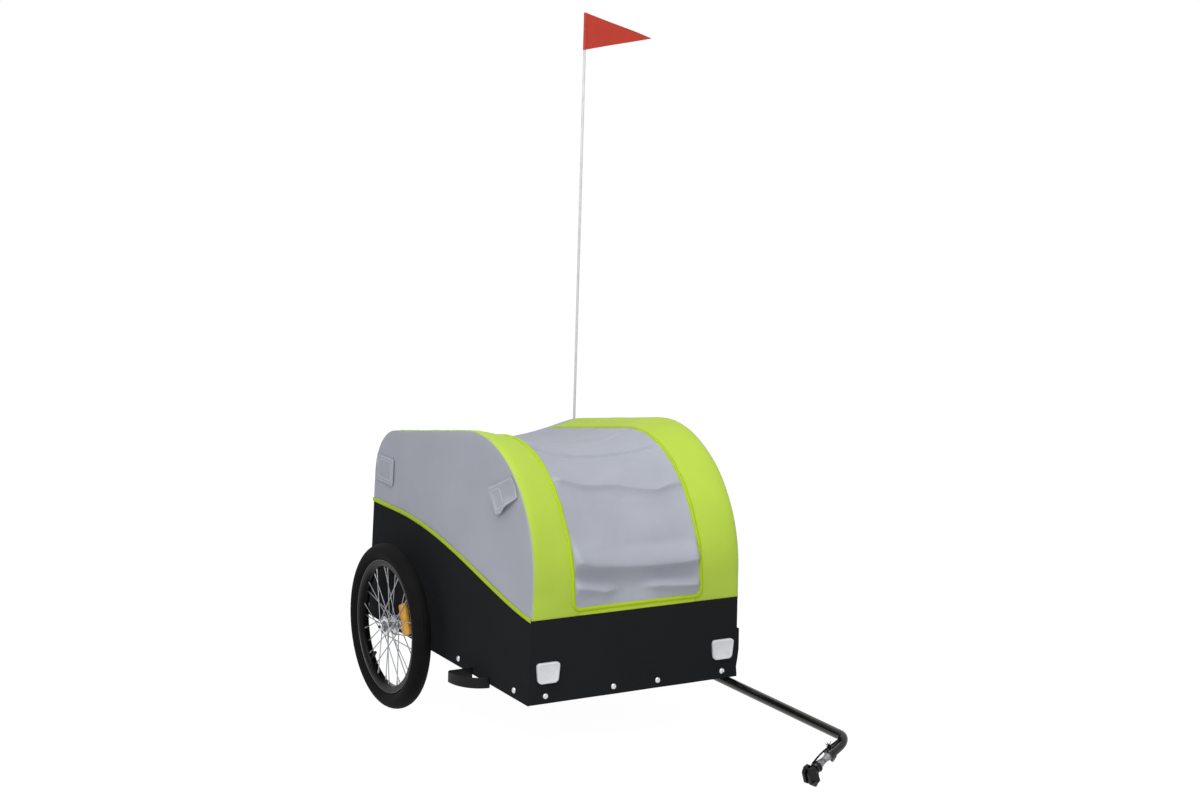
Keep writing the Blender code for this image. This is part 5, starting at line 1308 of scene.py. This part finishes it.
def hub_outline():
    """Hub shell: barrel, two waisted flanges and the bearing ends."""
    edge = FLANGE_THICKNESS / 2
    bore = AXLE_RADIUS + 0.0004
    half = [
        (HUB_HALF_LENGTH, bore),
        (HUB_HALF_LENGTH, HUB_BARREL_RADIUS * 0.80),
        (HUB_HALF_LENGTH - 0.0008, HUB_BARREL_RADIUS * 0.88),
        (FLANGE_SPREAD + edge + 0.0016, HUB_BARREL_RADIUS * 0.94),
        (FLANGE_SPREAD + edge, HUB_BARREL_RADIUS + 0.0020),
        (FLANGE_SPREAD + edge, FLANGE_RADIUS - 0.0008),
        (FLANGE_SPREAD + edge - 0.0006, FLANGE_RADIUS),
        (FLANGE_SPREAD - edge + 0.0006, FLANGE_RADIUS),
        (FLANGE_SPREAD - edge, FLANGE_RADIUS - 0.0008),
        (FLANGE_SPREAD - edge, HUB_BARREL_RADIUS + 0.0022),
        (FLANGE_SPREAD - edge - 0.0024, HUB_BARREL_RADIUS * 0.92),
        (0.0030, HUB_BARREL_RADIUS * 0.86),
    ]
    return mirrored(half)


def spoke_bar(length, lead):
    """One spoke: a head, an elbow through the flange, the straight stretch and its nipple."""
    bend = SPOKE_BEND
    head_at = Matrix.Translation((-lead * (FLANGE_THICKNESS + bend + 0.0004), 0, 0))
    piece = disc("spoke", 8, SPOKE_HEAD, head_at @ Matrix.Rotation(math.pi / 2, 4, "Y"))
    pull((lead * 0.0009, 0, 0))
    thin = SPOKE_WIRE / SPOKE_HEAD
    bpy.ops.transform.resize(value=(1, thin, thin), center_override=(0, 0, 0))
    pull((lead * (FLANGE_THICKNESS - 0.0005), 0, 0))
    bpy.ops.mesh.spin(steps=4, angle=lead * math.pi / 2, center=(-lead * bend, 0, bend),
                      axis=(0, 1, 0))
    thick = NIPPLE_RADIUS / SPOKE_WIRE
    straight = length - NIPPLE_LENGTH - bend
    for step, scale in ((straight, 1.0), (0.0002, thick), (NIPPLE_LENGTH, 1.0)):
        pull((0, 0, step))
        bpy.ops.transform.resize(value=(scale, scale, 1), center_override=(0, 0, 0))
    settle()
    return piece


def spokes(word, hub_frame):
    """Spokes laced three-cross to both flanges, with heads in and out by turns."""
    hole = FLANGE_RADIUS - 0.0035
    end_radius = RIM_INNER + 0.0006
    pitch = math.tau / SPOKES_PER_FLANGE
    made = []
    patterns = {}
    for side, _ in SIDES:
        for k in range(SPOKES_PER_FLANGE):
            lead = 1 if k % 2 else -1
            turn = pitch * (k + (0.5 if side < 0 else 0.0))
            reach = turn + lead * pitch * SPOKE_CROSSINGS
            plane = FLANGE_SPREAD + lead * (FLANGE_THICKNESS / 2 + SPOKE_BEND)
            start = Vector((side * plane, hole * math.cos(turn), hole * math.sin(turn)))
            end = Vector((side * 0.003, end_radius * math.cos(reach), end_radius * math.sin(reach)))
            along = (end - start).normalized()
            out = Vector((side, 0, 0))
            out = (out - out.dot(along) * along).normalized()
            turned = Matrix((out, along.cross(out), along)).transposed().to_4x4()
            if lead not in patterns:
                patterns[lead] = spoke_bar((end - start).length, lead)
            made.append(twin(patterns[lead], Matrix.Translation(start) @ turned))
    for pattern in patterns.values():
        bpy.data.objects.remove(pattern)
    piece = join(f"{word}_spokes", made)
    edit(piece)
    face_outwards()
    smooth(piece, 50)
    place(piece, hub_frame, "bright_steel", f"{word}_wheel", look=SPOKE_STEEL)


def amber_reflector(word, hub_frame):
    """Wedge-shaped spoke reflector with a frame round its ribbed amber face."""
    turn = Matrix.Rotation(AMBER_ANGLE, 4, "X") @ Matrix.Translation((0, REFLECTOR_RING, 0))
    outline = rounded_outline(AMBER_DEPTH, AMBER_LENGTH, AMBER_CORNER)
    body = plate("amber_body", [(-0.5, y, z) for y, z in outline], (1, 0, 0))
    edit(body)
    for way in (1, -1):
        pick(body, lambda face: face.normal.x * way > 0.9)
        bpy.ops.mesh.inset(thickness=AMBER_RIM)
        pull((-way * 0.10, 0, 0))
    settle()
    ribs = []
    reach = AMBER_DEPTH / 2 - 0.0026
    for i in range(AMBER_RIBS):
        z = (AMBER_LENGTH - 0.011) * ((i + 0.5) / AMBER_RIBS - 0.5)
        for way in (1, -1):
            ridge = ((0.38, z - 0.0019), (0.38, z + 0.0019), (0.46, z))
            points = [(way * x, -reach, high) for x, high in ridge]
            ribs.append(plate("amber_rib", points, (0, 2 * reach, 0)))
    body = join(f"{word}_spoke_reflector", [body] + ribs)
    for vert in body.data.vertices:
        share = 0.5 + vert.co.y / AMBER_DEPTH
        vert.co.x *= AMBER_INNER + (AMBER_OUTER - AMBER_INNER) * share
    smooth(body, 30)
    place(body, hub_frame @ turn, "amber_reflector", f"{word}_wheel", f"{word}_amber")


def valve(word, hub_frame):
    """Tyre valve with its cap, standing inwards from the rim."""
    top = RIM_INNER + 0.001
    steps = ((0.0, 0.0), (0.0, 0.0042), (0.0018, 0.0042), (0.0020, 0.0030), (0.016, 0.0030),
             (0.0165, 0.0040), (0.027, 0.0038), (0.028, 0.0026), (0.028, 0.0))
    piece = lathe(f"{word}_valve", [(top - down, radius) for down, radius in steps], 16)
    turn = Matrix.Rotation(-VALVE_ANGLE, 4, "X") @ Matrix.Rotation(-math.pi / 2, 4, "Y")
    place(piece, hub_frame @ turn, "black_plastic", f"{word}_wheel")


def wheel(word):
    """Tyre, rim, hub, spokes, valve and reflector of one wheel."""
    hub_frame = Matrix.Translation(wheel_middles[word])
    # Thin rings at the rim's lips: a painted highlight, grey where the black lip catches the light
    lip = arc((RIM_HALF_WIDTH + 0.0001, RIM_FLANGE_RADIUS - 0.0002), 0.0007, 0, 360, 8)
    face = FLANGE_SPREAD + FLANGE_THICKNESS / 2
    end = HUB_HALF_LENGTH - 0.0014
    seal = [(face, HUB_BARREL_RADIUS + 0.0034), (face + 0.0007, HUB_BARREL_RADIUS + 0.0030),
            (face + 0.0024, HUB_BARREL_RADIUS * 0.98), (end, HUB_BARREL_RADIUS * 0.92),
            (end, HUB_BARREL_RADIUS * 0.80), (face, HUB_BARREL_RADIUS * 0.80)]
    turned = (
        ("slick_tyre", tyre_outline(), 128, 25, "tyre_rubber", "tyre", None),
        ("double_wall_rim", rim_outline(), 128, 25, "black_rim", "rim", None),
        # Painted highlight: grey rings along the black rim's lips
        ("rim_edges", lip, 96, 35, "black_rim", None, RIM_HIGHLIGHT_AND_SEAL_GREY),
        ("hub_shell", hub_outline(), 56, 30, "bright_steel", "spoked_hub", None),
        ("bearing_seals", seal + [seal[0]], 40, 35, "black_plastic", None, RIM_HIGHLIGHT_AND_SEAL_GREY),
    )
    for name, outline, steps, angle, slot_name, node, look in turned:
        piece = lathe(f"{word}_{name}", outline, steps, angle)
        if not node:
            piece = join(f"{word}_{name}", [piece, twin(piece, MIRROR)])
        nodes = [f"{word}_{node}"] if node else []
        place(piece, hub_frame, slot_name, f"{word}_wheel", *nodes, look=look)
    spokes(word, hub_frame)
    amber_reflector(word, hub_frame)
    valve(word, hub_frame)


# Drawbar and coupler

BEND_CORNER = Vector((DRAWBAR_X, DRAWBAR_BEND_Y, DRAWBAR_Z))


def leg_frame():
    """Frame at the bend's corner: X along the short leg, Z up across it."""
    up = Vector((0, 0, 1))
    up = (up - up.dot(LEG_DIRECTION) * LEG_DIRECTION).normalized()
    aside = up.cross(LEG_DIRECTION)
    turn = Matrix((LEG_DIRECTION, aside, up)).transposed().to_4x4()
    return STANCE @ Matrix.Translation(BEND_CORNER) @ turn


LEG = leg_frame()


def drawbar_tube():
    """Steel tube bent once, with a push-button hole just past the bend."""
    forward = Vector((0, -1, 0))
    half = math.acos(forward.dot(LEG_DIRECTION)) / 2
    first = BEND_CORNER - forward * DRAWBAR_BEND_RADIUS * math.tan(half)
    inwards = (LEG_DIRECTION - forward * forward.dot(LEG_DIRECTION)).normalized()
    centre = first + inwards * DRAWBAR_BEND_RADIUS
    tail = Vector((DRAWBAR_X, DRAWBAR_PIVOT_Y + DRAWBAR_TAIL, DRAWBAR_Z))
    tail_at = Matrix.Translation(tail)
    tube_piece = disc("bent_drawbar", 40, DRAWBAR_RADIUS,
                      tail_at @ Matrix.Rotation(math.pi / 2, 4, "X"))
    pull(first - tail)
    axis = forward.cross(inwards)
    bpy.ops.mesh.spin(steps=20, angle=-2 * half, center=centre, axis=axis)
    turned_end = Matrix.Rotation(2 * half, 3, axis) @ (first - centre) + centre
    pull(BEND_CORNER + LEG_DIRECTION * LEG_TUBE_END - turned_end)
    merge()
    face_outwards()
    settle()
    hole_at = STANCE.inverted() @ LEG @ Vector((BUTTON_HOLE_AT, 0, 0))
    out = (LEG.to_3x3() @ Vector((0, -1, 0.2))).normalized()
    out = STANCE.to_3x3().inverted() @ out
    bpy.ops.mesh.primitive_cylinder_add(vertices=24, radius=BUTTON_HOLE_RADIUS, depth=0.012)
    drill = bpy.context.object
    drill.data.transform(out.to_track_quat("Z", "Y").to_matrix().to_4x4())
    drill.data.transform(Matrix.Translation(hole_at + out * DRAWBAR_RADIUS))
    carve(tube_piece, "DIFFERENCE", drill)
    smooth(tube_piece, 30)
    place(tube_piece, STANCE, "black_steel", "drawbar", "drawbar_tube")
    plug = lathe("drawbar_tail_plug", [
        (-0.004, 0.0), (-0.004, DRAWBAR_RADIUS - 0.001), (0.0, DRAWBAR_RADIUS + 0.0003),
        (0.0022, DRAWBAR_RADIUS + 0.0003), (0.0036, DRAWBAR_RADIUS * 0.7), (0.0040, 0.0),
    ], 28)
    place(plug, STANCE @ tail_at @ Matrix.Rotation(math.pi / 2, 4, "Z"), "black_plastic",
          "drawbar")


def coupler():
    """Collar, tapering neck, cup and their small fittings, in the short leg's frame."""
    start = LEG_TUBE_END - COLLAR_LENGTH + 0.003
    inner = DRAWBAR_RADIUS + GAP
    outer = inner + COLLAR_WALL
    end = start + COLLAR_LENGTH
    waist = outer - 0.0009
    edge = outer - 0.0008
    ring = [(start, inner), (start, edge), (start + 0.0008, outer), (start + 0.0035, outer),
            (start + 0.0042, waist), (start + 0.0062, waist), (start + 0.0069, outer),
            (end - 0.0008, outer), (end, edge), (end, inner)]
    collar = lathe("tube_end_collar", ring + [ring[0]], 40)
    low, high, half = start + 0.001, end - 0.001, 0.0035
    foot = [(low, -half, 0.0), (low, half, 0.0), (high, half, 0.0), (high, -half, 0.0)]
    lug = plate("collar_lug", foot, (0, 0, -outer - 0.0042))
    bevel(lug, 0.0009, 2, 40)
    collar = join("tube_end_collar", [collar, lug])
    smooth(collar, 35)
    place(collar, LEG, "black_steel", "drawbar", "end_collar")
    shank = [(-0.0052, 0.0), (-0.0052, 0.0020), (0.0052, 0.0020), (0.0052, 0.0)]
    at = Matrix.Translation(((start + end) / 2, 0, -outer - 0.0020))
    place(lathe("collar_bolt", shank, 12), LEG @ at @ Matrix.Rotation(math.pi / 2, 4, "Z"),
          "bright_steel", "drawbar")
    neck_start = LEG_TUBE_END - NECK_INSET
    outline = [(neck_start, 0.0), (neck_start, NECK_RADIUS), (LEG_TUBE_END + 0.0046, NECK_RADIUS)]
    count = 24
    first = LEG_TUBE_END + 0.0050
    last = CUP_START - 0.001
    for i in range(count + 1):
        share = i / count
        waist = math.sin(math.pi * min(1.0, share * 1.15)) ** 1.2 * (NECK_RADIUS - NECK_WAIST)
        rib = 0.00035 * math.cos(math.tau * share * 6)
        outline.append((first + (last - first) * share, NECK_RADIUS - 0.0003 - waist + rib))
    outline += [(CUP_START + 0.002, NECK_RADIUS - 0.0002), (CUP_START + 0.002, 0.0)]
    neck = lathe("tapered_neck", outline, 40, 60)
    neck.data.transform(LEG)
    dress(neck, "grey_rubber")
    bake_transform(neck)
    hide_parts("flex_neck")
    reach = NECK_RADIUS + GAP + CUP_WALL
    head = [(-0.003, 0.0), (-0.003, 0.0044), (0.0008, 0.0044), (0.0020, 0.0036),
            (0.0028, 0.0018), (0.0030, 0.0)]
    head = lathe("cup_bolt", [(reach + out, radius) for out, radius in head], 24)
    at = Matrix.Translation(((CUP_START + CUP_END) / 2, 0, 0))
    place(head, LEG @ at @ Matrix.Rotation(-math.pi / 2, 4, "Z"), "bright_steel", "coupler_cup")
    ring = [(0.002, -0.0003), (0.002, 0.0007), (0.0028, 0.0011), (0.0062, 0.0011),
            (0.0070, 0.0007), (0.0070, -0.0003), (0.002, -0.0003)]
    clip = lathe("cup_band", [(CUP_START + along, reach + out) for along, out in ring], 40)
    place(clip, LEG, "black_plastic", "coupler_cup")


CORD_ROUTE = (
    (0.0150, 0.0002), (0.0200, 0.0007), (0.0250, 0.0012), (0.0305, 0.0017), (0.0360, 0.0022),
    (0.0405, 0.0028), (0.0450, 0.0034), (0.0500, 0.0041), (0.0550, 0.0047), (0.0600, 0.0050),
    (0.0660, 0.0052), (0.0720, 0.0051), (0.0780, 0.0048), (0.0825, 0.0044), (0.0875, 0.0038),
    (0.0920, 0.0032), (0.0970, 0.0022), (0.1020, 0.0012),
)


def tie(name, along, height, spikes):
    """Bound end of the safety cord: a few turns of twine with its cut ends standing up."""
    settle()
    bpy.ops.mesh.primitive_torus_add(
        major_segments=24, minor_segments=8, major_radius=0.0036, minor_radius=TWINE_RADIUS,
        rotation=(0, math.pi / 2, 0), location=(along, 0, height),
    )
    first = bpy.context.object
    first.data.transform(first.matrix_basis)
    first.matrix_basis = Matrix.Identity(4)
    made = [first, twin(first, Matrix.Translation((0.0018, 0.0002, 0.0001)))]
    for lean, turn, length in spikes:
        bpy.ops.mesh.primitive_cone_add(vertices=6, radius1=0.0015, radius2=0.0006, depth=length)
        spike = bpy.context.object
        spike.data.transform(Matrix.Translation((0, 0, length / 2)))
        spike.data.transform(Matrix.Rotation(turn, 4, "X") @ Matrix.Rotation(lean, 4, "Y"))
        spike.data.transform(Matrix.Translation((along + 0.0008, 0, height + 0.0022)))
        made.append(spike)
    piece = join(name, made)
    smooth(piece, 50)
    place(piece, LEG, "cord_black", "drawbar")
    return piece


def safety_cord():
    """Cord tied along the short leg and hanging free to the cup, doubled between its two ties."""
    on_tube = DRAWBAR_RADIUS + CORD_RADIUS + GAP
    route = [LEG @ Vector((along, 0, on_tube + rise)) for along, rise in CORD_ROUTE]
    first = tie("bend_tie", 0.0165, on_tube + 0.0010,
                ((-0.9, 0.2, 0.011), (-0.4, 0.7, 0.009), (0.3, -0.8, 0.010), (0.8, 0.3, 0.012),
                 (0.0, 0.1, 0.008)))
    second = tie("neck_tie", 0.0480, on_tube + 0.0038,
                 ((-0.7, -0.3, 0.012), (-0.2, 0.8, 0.009), (0.5, 0.5, 0.010), (0.9, -0.4, 0.012)))
    back = []
    for i, (along, rise) in enumerate(CORD_ROUTE[:9]):
        aside = 0.0030 * math.sin(math.pi * i / 8) ** 0.5
        back.append(LEG @ Vector((along, aside, on_tube + rise + STRAND_RADIUS)))
    strand = tube("doubled_strand", back, STRAND_RADIUS, 10)
    place(strand, Matrix.Identity(4), "cord_black", "drawbar")
    piece = tube("safety_line", route, CORD_RADIUS, 12)
    dress(piece, "cord_black")
    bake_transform(piece)
    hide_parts("safety_cord")


# Flag, pocket and tabs

def wrapped(plan):
    """Row of cloth through (x, y, z) places, y counted from the pole, with its flat places."""
    row = []
    flat = 0.0
    for before, (x, y, z) in zip([plan[0]] + plan, plan):
        flat += math.dist(before[:2], (x, y))
        row.append((Vector((x, POLE_Y + y, z)), Vector((flat, z))))
    return row


def flag_cloth():
    """Pennant whose hem is wrapped round the pole."""
    hem = arc((0, 0), POLE_RADIUS + FLAG_SLACK, 60, 300, 10)
    hem = [(0.0085, 0.0016)] + hem + [(0.0060, -0.0016)]
    start = 0.010
    free = [(start + (FLAG_LENGTH * 0.985 - start) * (j / 44), None) for j in range(45)]
    rows = []
    for i in range(15):
        level = i / 14
        plan = []
        for x, y in hem + free:
            share = max(0.0, x) / FLAG_LENGTH
            top = POLE_TOP - FLAG_TIP_DROP * share
            low = POLE_TOP - FLAG_HEIGHT + (FLAG_HEIGHT - FLAG_TIP_DROP) * share
            z = low + (top - low) * level
            if y is None:
                wave = FLAG_WAVE * math.sin(math.tau * share + 0.5 * level) * share
                rough = ripple(x, z, 0.0, 0.045, 0.0022) * min(1.0, share * 3)
                y = wave - 0.0016 * (1 - share) + rough
            plan.append((POLE_X + x, y, z))
        rows.append(wrapped(plan))
    panel("pennant", rows, "flag_cloth", "flag", ["flag"], thickness=0.0007,
          outward=Vector((0, -1, 0)))


def flag_loop():
    """Cloth loop on the left side that holds the pole upright."""
    round_pole = arc((POLE_X, 0), POLE_RADIUS + LOOP_SLACK, 100, -100, 10)
    rows = []
    for i in range(9):
        z = LOOP_AT + LOOP_HEIGHT * i / 8
        wall = side_at(z) + 0.0014
        plan = [(wall, 0.020), (wall + 0.0002, 0.014)] + round_pole
        plan += [(wall + 0.0002, -0.014), (wall, -0.020)]
        rows.append(wrapped([(x, y, z) for x, y in plan]))
    panel("pole_loop", rows, "black_cloth", "chassis", ["flag_loop"],
          thickness=0.0012, outward=Vector((1, 0, 0)))


def side_pocket():
    """Cloth pocket on the left side, sewn down round its sides and bottom."""
    front = -BODY_FRONT + POCKET_FRONT_MARGIN
    rows = []
    for step in range(27):
        up = POCKET_HEIGHT * step / 26
        below = max(0.0, POCKET_CORNER - up)
        pinch = POCKET_CORNER - math.sqrt(max(0.0, POCKET_CORNER ** 2 - below ** 2))
        row = []
        for share in [j / 40 for j in range(41)]:
            y = front + pinch + (POCKET_LENGTH - 2 * pinch) * share
            z = POCKET_BOTTOM + up
            edge = min(y - front, front + POCKET_LENGTH - y)
            side_share = min(1.0, max(0.0, edge - 0.0004) / 0.0032) ** 0.5
            low_share = min(1.0, (up + 0.002) / 0.050) ** 0.7
            swell = POCKET_DEPTH * side_share * low_share
            swell *= 0.85 + 0.15 * math.sin(math.pi * share)
            swell += ripple(y, z, 8.0, 0.035, 0.0014) * min(1.0, edge / 0.02)
            row.append(on_side(1, y, z, -0.0012 - max(0.0, swell)))
        rows.append(row)
    panel("side_pocket_cloth", rows, "black_cloth", "chassis", ["side_pocket"],
          thickness=0.0010, outward=Vector((1, 0, 0)))


def rear_edge_y(height):
    """How far back the body's rear edge is, at a height on its rounded corner or rear wall."""
    inset = 0.0028
    if height <= WALL_TOP.y:
        return rear_wall_y(height) - inset / math.cos(REAR_LEAN)
    reach = REAR_CORNER_RADIUS - inset
    return REAR_CENTRE.x + math.sqrt(reach ** 2 - (height - REAR_CENTRE.y) ** 2)


def tab(side, word, name, root, along, length, half, lift, bite=0.0, slant=0.0, root_edge=None,
        box=TAB_BOX_MARGIN):
    """A double-layered tab with boxed stitching; lift tells how far a place stands out, bite
    how far the lower edge draws up towards the root, slant how much shorter the lower edge is,
    root_edge where the root lies at a width, and box where the inner stitched box begins."""
    across = Vector((-along.y, along.x))
    rows = []

    def spot(far, wide, proud=0.0):
        drawn = max(0.0, 1 - far / (0.78 * length)) ** 0.7 * max(0.0, -wide / half)
        start = root_edge(wide) if root_edge else 0.0
        stop = length - slant * (half - wide)
        way = start + (stop - start) * far / length
        y, z = root + along * way + across * (wide + bite * drawn)
        out = GAP + 0.0021 + proud + lift(far / length, wide / half)
        return Vector((side * (side_at(z) + out), y, z))

    for far in ease(0.0, length, 0.006):
        short = max(0.0, TAB_CORNER - (length - far))
        cut = TAB_CORNER - math.sqrt(max(0.0, TAB_CORNER ** 2 - short ** 2))
        row = []
        for level in ease(-half, half, 0.005):
            wide = level * (half - cut) / half
            edge = min(half - abs(wide), length - far)
            proud = -TAB_STEP if edge < 0.0012 else 0.0
            inside = min(half - 0.013 - abs(wide), length - 0.013 - far, far - 0.010)
            proud -= TAB_STEP if 0.0 < inside else 0.0
            proud += ripple(far, wide, side + 11, 0.03, 0.0008)
            row.append((spot(far, wide, proud), Vector((far, wide))))
        rows.append(row)
    body = f"{word}_{name}_flap"
    panel(f"{word}_{name}_tab_cloth", rows, "grey_cloth", body, [f"{word}_{name}_tab"],
          thickness=0.0018, outward=Vector((side, 0, 0)), smooth_angle=40)
    lines = []
    for margin, start in ((TAB_SEAM_MARGIN, 0.003), (TAB_BOX_MARGIN, box)):
        end = length - margin
        low = -half + margin
        ring = [(start, low), (end, low), (end, -low), (start, -low), (start, low)]
        for (a, b), (c, d) in zip(ring, ring[1:]):
            lines.append([spot(a + (c - a) * i / 8, b + (d - b) * i / 8, -0.0001)
                          for i in range(9)])
    stitching(f"{word}_{name}_tab_stitches", lines, "grey_cloth", body, THREAD_PALE)


def tabs():
    reach = FRONT_ARCH_RADIUS - 0.002
    rise = math.asin((FRONT_TAB_HEIGHT - ARCH_CENTRE_Z) / reach)
    seam = Vector((ARCH_CENTRE_Y - reach * math.cos(rise), FRONT_TAB_HEIGHT))
    slope = Vector((math.cos(FRONT_TAB_ANGLE), math.sin(FRONT_TAB_ANGLE)))
    front_root = seam + slope * 0.010
    half = REAR_TAB_HEIGHT / 2
    rear_edge = rear_edge_y(REAR_TAB_BOTTOM + REAR_TAB_HEIGHT) - 0.002
    rear_root = Vector((rear_edge, REAR_TAB_BOTTOM + half))

    def curled(far, wide):
        free = max(0.0, (far - 0.25) / 0.75)
        buckle = math.sin(math.pi * min(1.0, max(0.0, far) / 0.85)) ** 2
        return 0.0050 * free ** 1.6 + 0.0085 * buckle * max(0.0, -wide) ** 1.5

    def flat(far, wide):
        return 0.0010 * max(0.0, far - 0.8) / 0.2 - 0.0006

    def on_arch(wide):
        """Where the front tab's root meets the arch at a width, never ahead of its hinge."""
        off = front_root + Vector((-slope.y, slope.x)) * wide - ARCH_CENTRE
        lean = off.dot(slope)
        return max(0.0, -lean - math.sqrt(lean ** 2 - off.length_squared + (reach - 0.007) ** 2))

    for side, word in SIDES:
        tab(side, word, "front", front_root, slope, FRONT_TAB_LENGTH, FRONT_TAB_WIDTH / 2, curled,
            0.016, 0.28, on_arch, 0.60 * FRONT_TAB_LENGTH)
        tab(side, word, "rear", rear_root, Vector((-1, 0)), rear_edge - REAR_TAB_END_Y, half, flat)


make_camera()
safety_cord()
make_light()
make_floor()
dress_frame()
drawbar_tube()
coupler()
for _, word in SIDES:
    wheel(word)
reflectors()
screws()
front_and_rear_cloth()
for side, word in SIDES:
    side_cloth(side, word)
    ribbon(side, word)
    band(side, word)
    wheel_guard(side, word)
front_strip()
cover_piping()
cover_cloth()
flag_loop()
side_pocket()
tabs()
flag_cloth()

bpy.context.scene.view_settings.view_transform = "Standard"
